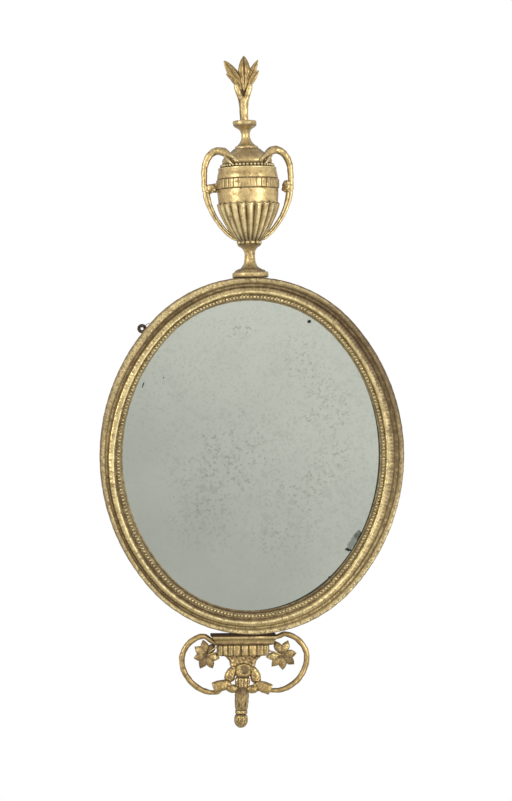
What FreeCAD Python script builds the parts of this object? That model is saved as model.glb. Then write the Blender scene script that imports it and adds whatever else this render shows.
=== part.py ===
import FreeCAD, Part
import math
import os

# Oval giltwood mirror with an urn crest and a scrolled apron.
# Lengths are in millimetres. X runs to the right, Y runs back towards the wall, Z runs up.
# The back plane of the frame is y = 0 and the centre of the oval is x = 0, z = 0.
# A depth is a distance forward of the back plane, so depth d lies at y = -d.

# Oval frame
oval_half_width = 304.0
oval_half_height = 355.5
oval_round_share = 0.631
moulding_width = 48.0
moulding_depth = 35.0
back_inset = 4.0
board_rebate_inset = 30.0
glass_rebate_inset = 40.5
board_thickness = 7.0
glass_thickness = 3.0
glass_front_depth = 13.8
sight_depth = 15.0
bead_seat_depth = 25.025
bead_inner_inset = 41.5
bead_outer_inset = 35.5
bead_height = 3.6
seat_gap = 0.3
glass_clearance = 0.6
overrun = 60.0

# Front of the moulding from the outer edge inward: rim, hollow and ridge, as shares of the
# moulding's width and depth
moulding_front_shares = [
    (0.0, 0.92), (0.06, 1.0), (0.2, 1.0), (0.28, 0.91), (0.33, 0.77), (0.44, 0.74),
    (0.51, 0.92), (0.65, 0.92), (0.72, 0.715),
]

# Back planks, blocks and nails
plank_width = 184.0
plank_gap = 0.6
block_length = 34.0
block_width = 12.0
block_clearance = 1.5
block_sector_shares = [0.2, 0.5, 0.8]
nail_side = 2.0
nail_length = 16.0
nail_head_side = 4.4
nail_head_height = 1.0
nail_inset = 35.0
nail_sector_shares = [0.12, 0.5, 0.88]

# Crest
crest_foot_x = -2.5
crest_lean_degrees = 1.64
crest_axis_depth = 8.0
plinth_across = 71.0
plinth_sides = 8
plinth_height = 11.0
plinth_outline_shares = [(1.0, -0.06), (1.0, 0.8), (0.96, 1.0)]
foot_radius = 30.0
foot_height = 65.0
collar_radius = 26.5
collar_height = 8.0
collar_bead_count = 16
collar_shares = [(0.85, 0.0), (1.0, 0.25), (1.0, 0.75), (0.85, 1.0)]
urn_radius = 63.5
bowl_height = 76.0
gadroon_count = 22
gadroon_round_shares = [0.92, 0.975, 1.0, 0.975]
turned_sides = 28
rod_sides = 8
prong_sides = 6
pendant_sides = 12
stem_sides = 20
eye_sides = 24
drum_radius = 61.0
drum_height = 71.0
lid_radius = 58.5
lid_height = 93.0
shoulder_radius = 53.5
shoulder_bead = 6.0

# Turned outlines, bottom to top, as shares of each piece's radius and height
stem_shares = [
    (1.0, 0.14), (1.0, 0.23), (0.70, 0.31), (0.45, 0.40), (0.38, 0.52), (0.36, 0.70),
    (0.44, 0.84), (0.66, 0.94), (0.80, 1.0),
]
bowl_shares = [
    (0.36, 0.0), (0.50, 0.11), (0.66, 0.34), (0.80, 0.52), (0.90, 0.68), (0.965, 0.84),
    (1.0, 0.96), (0.975, 1.0),
]
drum_shares = [
    (1.0, 0.0), (1.0, 0.40), (1.03, 0.43), (1.03, 0.67), (1.0, 0.70), (0.945, 1.0),
]
lid_shares = [
    (1.0, 0.0), (1.0, 0.025), (0.805, 0.025), (0.805, 0.09), (0.855, 0.09), (0.835, 0.17),
    (0.72, 0.24), (0.51, 0.32), (0.40, 0.40), (0.37, 0.46), (0.18, 0.57), (0.155, 0.71),
    (0.21, 0.81), (0.41, 0.89), (0.41, 0.95), (0.33, 1.0),
]

# Section of every leaf, with a raised midrib, as side and depth shares of its half width
leaf_section_shares = [
    (1.0, 0.0), (0.45, 0.42), (0.0, 0.75), (-0.45, 0.42), (-1.0, 0.0), (0.0, -0.25),
]

# Finial: stalk with a forked head, three big leaves and two small sprigs
stalk_height = 73.0
stalk_half_width = 8.9
stalk_offset = -3.0
stalk_step_shares = [(0.0, 0.92), (0.3, 0.96), (0.6, 1.18)]
fork_spread = 13.0
fork_half_width = 5.6
fork_shares = [(0.3, -0.25, 1.0), (0.66, 0.4, 1.05), (1.0, 1.0, 0.8)]
leaf_length = 92.0
leaf_half_width = 12.2
centre_leaf_shares = [
    (-0.03, -0.13, 0.12), (-0.02, 0.12, 0.58), (0.0, 0.337, 1.0), (0.0, 0.489, 0.69), (0.0, 0.62, 0.1),
]
left_leaf_shares = [
    (-0.08, -0.08, 0.5), (-0.17, 0.1, 0.92), (-0.27, 0.28, 0.9), (-0.37, 0.43, 0.5),
    (-0.44, 0.51, 0.1),
]
right_leaf_shares = [
    (0.07, -0.06, 0.3), (0.11, 0.12, 0.5), (0.16, 0.3, 0.55), (0.22, 0.42, 0.45), (0.29, 0.50, 0.08),
]
left_sprig_shares = [
    (-0.16, -0.03, 0.3), (-0.24, 0.05, 0.45), (-0.32, 0.13, 0.4), (-0.39, 0.2, 0.08),
]
right_sprig_shares = [
    (0.10, 0.02, 0.4), (0.17, 0.13, 0.62), (0.24, 0.21, 0.45), (0.31, 0.285, 0.08),
]

# Urn handles: bird-neck arm, boss and lower strap
handle_gap = 18.5
handle_rise = 252.0
handle_forward = 48.0
neck_half_width = 7.0
neck_shares = [
    (0.995, 0.690, 0.8, 0.0), (1.0, 0.745, 0.78, 0.0), (1.0, 0.823, 0.84, 0.0),
    (0.98, 0.890, 0.92, 0.01), (0.89, 0.960, 1.0, 0.03), (0.76, 0.998, 1.06, 0.07),
    (0.64, 1.006, 1.12, 0.13), (0.54, 0.993, 1.15, 0.27), (0.455, 0.969, 0.95, 0.48),
]
upper_beak_shares = [
    (0.50, 0.978, 0.6, 0.38), (0.40, 0.958, 0.52, 0.68), (0.325, 0.938, 0.4, 0.87), (0.24, 0.918, 0.12, 0.99),
]
lower_beak_shares = [
    (0.50, 0.972, 0.6, 0.38), (0.42, 0.945, 0.5, 0.66), (0.38, 0.926, 0.38, 0.8), (0.34, 0.907, 0.12, 0.88),
]
boss_shares = [
    (1.1, 0.722, 0.9), (0.78, 0.722, 1.5), (0.35, 0.722, 1.45), (-0.15, 0.722, 1.1),
]
strap_half_width = 9.0
strap_shares = [
    (0.97, 0.692, 0.85), (0.955, 0.655, 1.0), (0.90, 0.571, 0.74), (0.755, 0.467, 0.62),
    (0.54, 0.371, 0.6), (0.33, 0.311, 0.5), (0.22, 0.299, 0.4),
]

# Apron below the oval
apron_x = -14.5
frieze_x = -17.7
apron_drop = 4.3
board_half_width = 64.5
board_height = 5.4
cornice_height = 17.2
cornice_depth = 30.0
cornice_shares = [(1.0, 0.0), (1.0, 0.28), (0.93, 0.5), (0.9, 0.75), (0.84, 1.0)]
frieze_half_width = 52.0
frieze_height = 21.4
frieze_depth = 23.0
rib_width = 5.0
rib_height = 3.0
rib_place_shares = [-0.93, -0.08, 0.08, 0.93]
corbel_height = 21.8
corbel_depth = 15.0
corbel_shares = [(0.78, 0.0), (0.62, 0.25), (0.52, 0.55), (0.48, 1.0)]

# Hanging pendant, leaning a little
pendant_lean_degrees = 2.2
pendant_half_width = 16.0
pendant_depth = 20.0
hood_overlap = 6.2
hood_length = 50.0
hood_shares = [
    (0.0, 0.45), (0.07, 0.8), (0.19, 1.0), (0.42, 0.98), (0.55, 0.72), (0.62, 0.86), (1.0, 0.82),
]
calyx_length = 52.6
calyx_shares = [(0.0, 0.86), (0.12, 0.9), (0.45, 0.87), (0.8, 0.79), (1.0, 0.74)]
bud_radius = 13.6
bud_shares = [
    (0.0, 0.78), (0.16, 0.93), (0.36, 1.0), (0.6, 0.97), (0.82, 0.74), (0.96, 0.34), (1.0, 0.12),
]

# Husks between the pendant and the scrolls
husk_reach = 60.0
husk_half_width = 14.0
bell_husk_shares = [
    (0.20, 1.70, 0.5), (0.34, 1.72, 0.56), (0.5, 1.62, 0.34), (0.58, 1.58, 0.56), (0.8, 1.66, 0.86),
    (1.0, 1.72, 0.76),
]
husk_leaf_shares = [(0.25, 1.04, 0.3), (0.36, 1.16, 0.58), (0.47, 1.28, 0.6), (0.58, 1.43, 0.12)]
husk_drop = 62.0

# Scrolls and leaf sprays
scroll_reach = 124.8
scroll_drop = 111.5
scroll_half_width = 6.2
scroll_axis_depth = 9.0
left_scroll_rise = -1.2
right_scroll_rise = 1.8
scroll_shares = [
    (0.43, 1.005, 0.75), (0.585, 0.987, 0.9), (0.737, 0.915, 1.0), (0.865, 0.794, 1.0),
    (0.958, 0.632, 1.0), (1.0, 0.466, 1.0), (0.991, 0.309, 1.0), (0.913, 0.148, 1.0),
    (0.792, 0.036, 0.95), (0.66, -0.015, 0.85), (0.53, 0.02, 0.7),
]
spray_place = 75.5
spray_drop = 37.0
spray_radius = 29.5
spray_lobes = 7
spray_turn_share = 0.5
spray_notch_share = 0.6
spray_core_share = 0.12
spray_back_depth = 3.0
spray_edge_depth = 6.0
spray_front_depth = 13.0

# Iron straps on the back
stay_width = 14.0
stay_thickness = 3.0
crest_stay_low = 27.5
crest_stay_high = 178.0
crest_screw_rises = [-14.0, 112.0, 162.0]
apron_stay_up = 26.0
apron_stay_down = 84.0
apron_screw_drops = [-17.0, 25.0, 74.0]

# Wood screws with eight-sided shanks
screw_shank = 3.2
screw_length = 13.0
screw_head = 7.0
screw_head_height = 1.2
screw_sides = 8

# Brass strap plates and D rings on the back
ring_plate_x = 120.0
ring_pin_drop = 30.5
ring_pin_y = 3.6
ring_wire_radius = 1.75
ring_pin_clearance = 0.1
ring_inner_width = 15.0
ring_inner_drop = 12.5
knuckle_wall = 1.4
knuckle_sides = 12
ring_plate_width = 10.0
ring_plate_thickness = 1.5
ring_plate_height = 26.0
ring_plate_screw_rises = [7.5, 20.5]
ring_plate_screw_head = 5.6
ring_bend_shares = [
    (1.0, 0.0), (1.0, 0.35), (0.92, 0.68), (0.68, 0.9), (0.35, 1.0), (-0.35, 1.0),
    (-0.68, 0.9), (-0.92, 0.68), (-1.0, 0.35), (-1.0, 0.0),
]

# Iron eye plate and its stiff wire
eye_sector_share = 0.037
eye_overhang = 4.5
eye_radius = 9.5
eye_hole_radius = 2.7
eye_thickness = 2.0
eye_tongue_length = 30.0
eye_tongue_width = 11.0
eye_screw_places = [14.5, 23.0]
wire_radius = 0.7
wire_shares = [(0.3, 0.1), (0.92, 0.88), (1.6, 1.2), (2.24, 1.26)]


# Small helpers

def at(x, depth, z):
    """Point at a depth forward of the back plane."""
    return FreeCAD.Vector(x, -depth, z)


def turned_by(angle, length):
    """Vector of a length in the picture plane, its angle in degrees from +X towards +Z."""
    return FreeCAD.Vector(math.cos(math.radians(angle)), 0, math.sin(math.radians(angle))) * length


def block(x_low, x_high, depth_low, depth_high, z_low, z_high):
    """Box between two corners."""
    corner = at(x_low, depth_high, z_low)
    return Part.makeBox(x_high - x_low, depth_high - depth_low, z_high - z_low, corner)


def prism(points, depth_low, depth_high):
    """Flat outline of (x, z) points made solid between two depths."""
    corners = [at(x, depth_low, z) for x, z in points]
    face = Part.Face(Part.makePolygon(corners + corners[:1]))
    return face.extrude(at(0, depth_high - depth_low, 0))


def largest(shape):
    """The biggest solid of a shape."""
    return max(shape.Solids, key=lambda solid: solid.Volume)


def seated(piece, neighbours):
    """A piece trimmed where it would run into its neighbours."""
    for neighbour in neighbours:
        piece = largest(piece.cut(neighbour))
    return piece


def facet_solid(rings):
    """Solid of flat facets through rings of points, closed by its first and last ring."""
    facets = [list(reversed(rings[0])), rings[-1]]
    for low, high in zip(rings, rings[1:]):
        for index, corner in enumerate(low):
            following = (index + 1) % len(low)
            facets.append([corner, low[following], high[following]])
            facets.append([corner, high[following], high[index]])
    faces = [Part.Face(Part.makePolygon(points + points[:1])) for points in facets]
    solid = Part.makeSolid(Part.makeShell(faces))
    if solid.Volume < 0:
        solid.reverse()
    return solid


def swept(stations, section, axis_depth):
    """Facet solid along (x, z, half width) stations, some with how far they come forward."""
    centres = [FreeCAD.Vector(station[0], 0, station[1]) for station in stations]
    rings = []
    for index, (x, z, half_width, *lift) in enumerate(stations):
        before = centres[max(index - 1, 0)]
        after = centres[min(index + 1, len(centres) - 1)]
        along = (after - before).normalize()
        side = FreeCAD.Vector(-along.z, 0, along.x)
        ring = []
        for side_share, depth_share in section:
            forward = at(0, axis_depth + sum(lift) + depth_share * half_width, 0)
            ring.append(centres[index] + side * side_share * half_width + forward)
        rings.append(ring)
    return facet_solid(rings)


def polygon_section(sides):
    """Side and depth shares of a regular section."""
    turns = [math.radians(180.0 / sides + 360.0 * index / sides) for index in range(sides)]
    return [(math.cos(turn), math.sin(turn)) for turn in turns]


def scaled(shares, across, along, half_width, x_sign, x_start, z_start, forward=0):
    """Stations from shares, mirrored by the sign, with any last share coming forward."""
    stations = []
    for x_share, z_share, width_share, *forward_share in shares:
        place = (x_start + x_sign * x_share * across, z_start + z_share * along)
        stations.append((place[0], place[1], width_share * half_width, sum(forward_share) * forward))
    return stations


def in_front(shape):
    """The part of a shape that lies forward of the back plane."""
    box = shape.BoundBox
    keep = block(box.XMin - overrun, box.XMax + overrun, 0, overrun - box.YMin, box.ZMin - overrun,
                 box.ZMax + overrun)
    return largest(shape.common(keep))


def turning(outline, sides, axis_x, axis_depth):
    """Turned piece with flats, from (radius, z) points, cut flat on the back plane."""
    rings = []
    for radius, z in outline:
        ring = []
        for side_share, depth_share in polygon_section(sides):
            ring.append(at(axis_x + side_share * radius, axis_depth - depth_share * radius, z))
        rings.append(ring)
    return in_front(facet_solid(rings))


# Oval frame

def oval_sectors():
    """The four arcs of the oval: name, centre, radius, first angle and sweep."""
    stretch = oval_half_height - oval_half_width
    side_share = 1 / (2 * oval_round_share)
    end_radius = oval_half_width - oval_round_share * stretch
    side_radius = oval_half_height + side_share * stretch
    end_shift = oval_half_height - end_radius
    side_shift = side_radius - oval_half_width
    joint = math.degrees(math.atan2(1 + oval_round_share, 1 + side_share))
    return [
        ("top", at(0, 0, end_shift), end_radius, joint, 180 - 2 * joint),
        ("left", at(side_shift, 0, 0), side_radius, 180 - joint, 2 * joint),
        ("bottom", at(0, 0, -end_shift), end_radius, 180 + joint, 180 - 2 * joint),
        ("right", at(-side_shift, 0, 0), side_radius, -joint, 2 * joint),
    ]


def oval_plate(inset, depth_low, depth_high):
    """Oval plate whose edge lies an inset inside the outer edge."""
    edges = []
    for name, centre, radius, first, sweep in oval_sectors():
        stops = [first, first + sweep / 2, first + sweep]
        points = [centre + turned_by(angle, radius - inset) for angle in stops]
        edges.append(Part.Arc(*points).toShape())
    plate = Part.Face(Part.Wire(edges)).extrude(at(0, depth_high - depth_low, 0))
    plate.translate(at(0, depth_low, 0))
    return plate


def moulding_section(centre, radius, angle):
    """Face of the moulding's section, set up at one angle of an arc."""
    def place(inset, depth):
        return centre + turned_by(angle, radius - inset) + at(0, depth, 0)

    corners = [place(back_inset, 0)]
    for inset_share, depth_share in moulding_front_shares:
        corners.append(place(inset_share * moulding_width, depth_share * moulding_depth))
    corners += [
        place(bead_inner_inset + glass_clearance, bead_seat_depth),
        place(moulding_width, sight_depth),
        place(moulding_width, glass_front_depth),
        place(glass_rebate_inset, glass_front_depth),
        place(glass_rebate_inset, board_thickness),
        place(board_rebate_inset, board_thickness),
        place(board_rebate_inset, 0),
    ]
    return Part.Face(Part.makePolygon(corners + corners[:1]))


def frame_segment(centre, radius, first, sweep):
    """One moulded length of the frame."""
    section = moulding_section(centre, radius, first)
    return section.revolve(centre, FreeCAD.Vector(0, -1, 0), sweep)


def bead_ring():
    """Ring of beads as one low moulding in its seat."""
    chamfer = bead_height / 3
    outline = [
        (bead_outer_inset, 0), (bead_outer_inset + chamfer, bead_height),
        (bead_inner_inset - chamfer, bead_height), (bead_inner_inset, 0),
    ]
    ring = None
    for name, centre, radius, first, sweep in oval_sectors():
        corners = []
        for inset, rise in outline:
            corners.append(centre + turned_by(first, radius - inset) + at(0, bead_seat_depth + rise, 0))
        face = Part.Face(Part.makePolygon(corners + corners[:1]))
        length = face.revolve(centre, FreeCAD.Vector(0, -1, 0), sweep)
        ring = length if ring is None else ring.fuse(length)
    return ring


def along_oval(shares, inset):
    """Points and outward angles at shares of each arc."""
    places = []
    for name, centre, radius, first, sweep in oval_sectors():
        for share in shares:
            angle = first + share * sweep
            places.append((centre + turned_by(angle, radius - inset), angle))
    return places


def square_bar(side, depth_low, depth_high, point, angle):
    """Square bar from back to front, turned to face along the oval."""
    half = side / 2
    bar = block(-half, half, depth_low, depth_high, -half, half)
    bar.rotate(at(0, 0, 0), FreeCAD.Vector(0, -1, 0), angle)
    bar.translate(point)
    return bar


def nails():
    """Square cut nails through the planks into the frame, as one list of solids."""
    solids = []
    for point, angle in along_oval(nail_sector_shares, nail_inset):
        shank = square_bar(nail_side, 0, nail_length, point, angle)
        head = square_bar(nail_head_side, -nail_head_height, 0, point, angle)
        solids.append(largest(shank.fuse(head).removeSplitter()))
    return solids


def planks():
    """Three back planks, left, centre and right, with room to move between them."""
    whole = oval_plate(board_rebate_inset + glass_clearance, 0, board_thickness)
    half = plank_width / 2
    edges = [-oval_half_width, -half, half, oval_half_width]
    boards = []
    for low, high in zip(edges, edges[1:]):
        gap = plank_gap / 2
        strip = block(low + gap, high - gap, 0, board_thickness, -oval_half_height, oval_half_height)
        boards.append(largest(whole.common(strip)))
    return boards


def glazing_blocks():
    """Small blocks between the glass plate and the planks."""
    back_of_glass = glass_front_depth - glass_thickness
    inset = glass_rebate_inset + block_clearance + block_width / 2
    solids = []
    for point, angle in along_oval(block_sector_shares, inset):
        half_width = block_width / 2
        half_length = block_length / 2
        piece = block(-half_width, half_width, board_thickness, back_of_glass, -half_length, half_length)
        piece.rotate(at(0, 0, 0), FreeCAD.Vector(0, -1, 0), angle)
        piece.translate(point)
        solids.append(piece)
    return solids


# Screws

def screw(x, z, plate, head_width):
    """Wood screw driven forward through an iron or brass plate on the back."""
    half = screw_shank / 2
    head_half = head_width / 2
    shank = [(half * c, half * s) for c, s in polygon_section(screw_sides)]
    head = [(head_half * c, head_half * s) for c, s in polygon_section(screw_sides)]
    shank_solid = prism(shank, -plate, screw_length - plate)
    head_solid = prism(head, -plate - screw_head_height, -plate)
    body = largest(shank_solid.fuse(head_solid).removeSplitter())
    body.translate(at(x, 0, z))
    return body


# Crest

def crest_place(shape):
    """A crest piece drawn upright, moved to its foot and leaned."""
    placed = shape.copy()
    foot = FreeCAD.Vector(crest_foot_x, 0, oval_half_height)
    placed.translate(foot)
    placed.rotate(foot, FreeCAD.Vector(0, 1, 0), -crest_lean_degrees)
    return placed


def outline_of(shares, radius, height, start):
    """Radius and height pairs from shares, from a starting height."""
    return [(radius * r_share, start + height * z_share) for r_share, z_share in shares]


def urn_foot():
    """Octagonal plinth with a turned stem."""
    flat_radius = plinth_across / 2 / math.cos(math.pi / plinth_sides)
    base = outline_of(plinth_outline_shares, flat_radius, plinth_height, 0)
    plinth = turning(base, plinth_sides, 0, crest_axis_depth)
    outline = outline_of(stem_shares, foot_radius, foot_height, 0)
    stem = turning(outline, stem_sides, 0, crest_axis_depth)
    return largest(plinth.fuse(stem))


def lid_start():
    """Height of the top of the drum, where the lid sits."""
    return foot_height + collar_height + bowl_height + drum_height


def urn_bead_rings():
    """Collar of beads under the bowl and ring of beads on the shoulder."""
    collar = outline_of(collar_shares, collar_radius, collar_height, foot_height)
    low = lid_start()
    seat = low + lid_height * lid_shares[1][1]
    core = lid_radius * lid_shares[2][0] + seat_gap
    chamfer = shoulder_bead / 4
    ring = [(shoulder_radius - chamfer, seat), (shoulder_radius, seat + chamfer),
            (shoulder_radius, seat + shoulder_bead - chamfer - seat_gap),
            (shoulder_radius - chamfer, seat + shoulder_bead - seat_gap)]
    shoulder = turning(ring, turned_sides, 0, crest_axis_depth)
    hole = turning([(core, seat - overrun), (core, seat + overrun)], turned_sides, 0, crest_axis_depth)
    collar_solid = turning(collar, collar_bead_count, 0, crest_axis_depth)
    return [collar_solid, largest(shoulder.cut(hole))]


def gadroon_ring(radius, height):
    """Ring of points that swells out at each gadroon and falls back between them."""
    steps = len(gadroon_round_shares)
    count = gadroon_count * steps
    ring = []
    for index in range(count):
        reach = radius * gadroon_round_shares[index % steps]
        turn = 2 * math.pi * (index - steps / 2) / count
        ring.append(at(reach * math.sin(turn), crest_axis_depth + reach * math.cos(turn), height))
    return ring


def urn_body():
    """Gadrooned bowl below a plain drum with a raised band."""
    start = foot_height + collar_height
    rings = []
    for radius, height in outline_of(bowl_shares, urn_radius, bowl_height, start):
        rings.append(gadroon_ring(radius, height))
    bowl = in_front(facet_solid(rings))
    drum_start = start + bowl_height
    drum_outline = outline_of(drum_shares, drum_radius, drum_height, drum_start)
    drum = turning(drum_outline, turned_sides, 0, crest_axis_depth)
    return largest(bowl.fuse(drum))


def urn_lid():
    """Shoulder lip, bell dome, neck and dish turned in one."""
    start = lid_start()
    return turning(outline_of(lid_shares, lid_radius, lid_height, start), turned_sides, 0, crest_axis_depth)


def urn_envelope():
    """Space of the urn with a seat gap all round, for trimming the handles."""
    start = foot_height + collar_height
    drum_start = start + bowl_height
    lid_low = lid_start()
    outline = [(collar_radius, foot_height - seat_gap)]
    outline += outline_of(bowl_shares, urn_radius, bowl_height, start)
    outline += outline_of(drum_shares, drum_radius, drum_height, drum_start)
    outline += [(lid_radius, lid_low), (shoulder_radius, lid_low + shoulder_bead)]
    outline += outline_of(lid_shares[5:], lid_radius, lid_height, lid_low)
    widened = [(radius + seat_gap, height) for radius, height in outline]
    return turning(widened, turned_sides, 0, crest_axis_depth)


def finial_stalk():
    """Stalk that widens into a two-lobed fork."""
    base = lid_start() + lid_height
    stem = []
    for z_share, width_share in stalk_step_shares:
        stem.append((stalk_offset, base + stalk_height * z_share, stalk_half_width * width_share))
    stalk = swept(stem, polygon_section(rod_sides), crest_axis_depth)
    split = base + stalk_height * stalk_step_shares[-1][0]
    top = base + stalk_height
    for sign in (-1, 1):
        lobe = scaled(fork_shares, fork_spread, top - split, fork_half_width, sign, stalk_offset,
                      split)
        stalk = stalk.fuse(swept(lobe, polygon_section(prong_sides), crest_axis_depth))
    return largest(stalk)


def finial_leaf(shares):
    """One leaf of the finial."""
    stations = scaled(shares, leaf_length, leaf_length, leaf_half_width, 1, 0,
                      lid_start() + lid_height + stalk_height)
    return swept(stations, leaf_section_shares, crest_axis_depth)


def handle_reach():
    """Distance of the arm's centre line from the urn's axis."""
    return drum_radius + handle_gap + neck_half_width


def handle_neck(sign):
    """Bird-neck arm with an open beak of two prongs."""
    arm = swept(scaled(neck_shares, handle_reach(), handle_rise, neck_half_width, sign, 0, 0,
                       handle_forward), polygon_section(rod_sides), crest_axis_depth)
    for shares in (upper_beak_shares, lower_beak_shares):
        prong = swept(scaled(shares, handle_reach(), handle_rise, neck_half_width, sign, 0, 0,
                             handle_forward), polygon_section(prong_sides), crest_axis_depth)
        arm = arm.fuse(prong)
    return largest(arm)


def handle_strap(sign):
    """Lower strap of a handle, hugging the bowl."""
    return swept(scaled(strap_shares, handle_reach(), handle_rise, strap_half_width, sign, 0, 0),
                 polygon_section(rod_sides), crest_axis_depth)


def handle_boss(sign):
    """Lump between the arm and the drum."""
    return swept(scaled(boss_shares, handle_gap, handle_rise, neck_half_width, sign,
                        sign * drum_radius, 0), polygon_section(rod_sides), crest_axis_depth)


# Apron

def apron_top():
    """Height of the underside of the board, where the cornice starts."""
    return -oval_half_height - apron_drop


def apron_board():
    """Dark board hollowed on top where the oval rests in it."""
    low = apron_top()
    blank = block(frieze_x - board_half_width, frieze_x + board_half_width, 0, cornice_depth, low,
                  low + board_height)
    return seated(blank, [oval_plate(-seat_gap, -overrun, overrun)])


def tapered(shares, middle, half_width, height, top, depth):
    """Block about a middle whose two sides follow width and drop shares."""
    left = []
    right = []
    for width_share, drop_share in shares:
        z = top - height * drop_share
        left.append((middle - half_width * width_share, z))
        right.append((middle + half_width * width_share, z))
    return prism(left + list(reversed(right)), 0, depth)


def apron_cornice():
    """Moulding under the board, narrowing downwards."""
    return tapered(cornice_shares, apron_x, board_half_width, cornice_height, apron_top(), cornice_depth)


def apron_frieze():
    """Block with four upright ribs on its face."""
    low = corbel_top()
    high = low + frieze_height
    body = block(frieze_x - frieze_half_width, frieze_x + frieze_half_width, 0, frieze_depth, low, high)
    for share in rib_place_shares:
        middle = frieze_x + frieze_half_width * share
        half = rib_width / 2
        rib = block(middle - half, middle + half, 0, frieze_depth + rib_height, low, high)
        body = body.fuse(rib)
    return largest(body.removeSplitter())


def corbel_top():
    """Height of the top of the corbel."""
    return apron_top() - cornice_height - frieze_height


def apron_corbel():
    """Corbel with hollow sides."""
    return tapered(corbel_shares, frieze_x, frieze_half_width, corbel_height, corbel_top(), corbel_depth)


def pendant_place(shape):
    """A pendant piece drawn upright, leaned about the corbel."""
    placed = shape.copy()
    placed.rotate(at(apron_x, 0, apron_top()), FreeCAD.Vector(0, 1, 0), pendant_lean_degrees)
    return placed


def pendant_piece(shares, length, half_width, start):
    """Round-fronted pendant piece hanging from a starting height."""
    outline = [(half_width * width, start - length * drop) for drop, width in shares]
    return turning(outline, pendant_sides, apron_x, pendant_depth - pendant_half_width)


def pendants():
    """Hood with tongue, calyx and bud."""
    hood_start = corbel_top() - corbel_height + hood_overlap
    calyx_start = hood_start - hood_length
    bud_start = calyx_start - calyx_length
    hood = pendant_piece(hood_shares, hood_length, pendant_half_width, hood_start)
    calyx = pendant_piece(calyx_shares, calyx_length, pendant_half_width, calyx_start)
    bud = pendant_piece(bud_shares, bud_radius * 2, bud_radius, bud_start)
    return hood, calyx, bud


def husk(shares, sign):
    """Husk or leaf beside the pendant."""
    stations = scaled(shares, husk_reach, -husk_drop, husk_half_width, sign, apron_x, apron_top())
    return swept(stations, leaf_section_shares, scroll_axis_depth)


def scroll(sign, rise):
    """Big C scroll of one side."""
    stations = scaled(scroll_shares, scroll_reach, -scroll_drop, scroll_half_width, sign, apron_x,
                      apron_top() + rise)
    return swept(stations, polygon_section(rod_sides), scroll_axis_depth)


def leaf_spray(sign):
    """Pointed leaves spreading from one centre, raised in the middle."""
    centre_x = apron_x + sign * spray_place
    centre_z = apron_top() - spray_drop
    rim = []
    for index in range(2 * spray_lobes):
        reach = spray_radius if index % 2 == 0 else spray_radius * spray_notch_share
        turn = math.pi * (index + sign * spray_turn_share) / spray_lobes
        rim.append((centre_x + reach * math.cos(turn), centre_z + reach * math.sin(turn)))
    back = [at(x, spray_back_depth, z) for x, z in rim]
    edge = [at(x, spray_edge_depth, z) for x, z in rim]
    core = []
    for x, z in rim:
        near_x = centre_x + (x - centre_x) * spray_core_share
        near_z = centre_z + (z - centre_z) * spray_core_share
        core.append(at(near_x, spray_front_depth, near_z))
    return facet_solid([back, edge, core])


# Hardware on the back

def crest_stay():
    """Iron strap that ties the urn to the top of the frame."""
    half = stay_width / 2
    return block(-half, half, -stay_thickness, 0, -crest_stay_low, crest_stay_high)


def apron_stay():
    """Iron strap that ties the apron to the bottom of the frame."""
    half = stay_width / 2
    return block(apron_x - half, apron_x + half, -stay_thickness, 0, apron_top() - apron_stay_down,
                 apron_top() + apron_stay_up)


def ring_pin_z():
    """Height of the ring's bar, a drop below the back's outer edge at the plates."""
    name, centre, radius, first, sweep = oval_sectors()[0]
    return centre.z + math.sqrt((radius - back_inset) ** 2 - ring_plate_x ** 2) - ring_pin_drop


def ring_plate(x):
    """Brass strap with a knuckle round the ring's straight bar."""
    half = ring_plate_width / 2
    low = ring_pin_z()
    across = FreeCAD.Vector(1, 0, 0)
    pin = FreeCAD.Vector(x - half, ring_pin_y, low)
    bore_radius = ring_wire_radius + ring_pin_clearance
    outer_radius = bore_radius + knuckle_wall
    strap = block(x - half, x + half, -ring_plate_thickness, 0, low, low + ring_plate_height)
    rim = [pin + FreeCAD.Vector(0, outer_radius * c, outer_radius * s)
           for c, s in polygon_section(knuckle_sides)]
    knuckle = Part.Face(Part.makePolygon(rim + rim[:1])).extrude(across * ring_plate_width)
    bore = Part.makeCylinder(bore_radius, ring_plate_width, pin, across)
    return largest(strap.fuse(knuckle).cut(bore))


def hanging_ring(x):
    """D ring: a straight bar in the knuckle and a bowed wire below it."""
    half = ring_inner_width / 2 + ring_wire_radius
    drop = ring_inner_drop + ring_wire_radius
    bar = Part.makeCylinder(ring_wire_radius, 2 * half, FreeCAD.Vector(x - half, ring_pin_y, ring_pin_z()),
                            FreeCAD.Vector(1, 0, 0))
    stations = []
    for x_share, drop_share in ring_bend_shares:
        stations.append((x + half * x_share, ring_pin_z() - drop * drop_share, ring_wire_radius))
    bow = swept(stations, polygon_section(rod_sides), -ring_pin_y)
    return largest(bow.fuse(bar))


def steady_eye():
    """Iron plate whose eye shows past the rim."""
    eye, outward = eye_place()
    disc = prism([(eye_radius * c, eye_radius * s) for c, s in polygon_section(eye_sides)], -eye_thickness, 0)
    disc.translate(eye)
    half = eye_tongue_width / 2
    tongue = block(0, eye_tongue_length, -eye_thickness, 0, -half, half)
    tongue.rotate(at(0, 0, 0), FreeCAD.Vector(0, -1, 0), 180 + outward)
    tongue.translate(eye)
    hole = Part.makeCylinder(eye_hole_radius, eye_thickness, eye, FreeCAD.Vector(0, 1, 0))
    return largest(disc.fuse(tongue).removeSplitter().cut(hole))


def eye_place():
    """Centre of the eye just outside the left arc, and its outward angle."""
    name, centre, radius, first, sweep = oval_sectors()[1]
    outward = first + eye_sector_share * sweep
    return centre + turned_by(outward, radius + eye_overhang), outward


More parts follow.
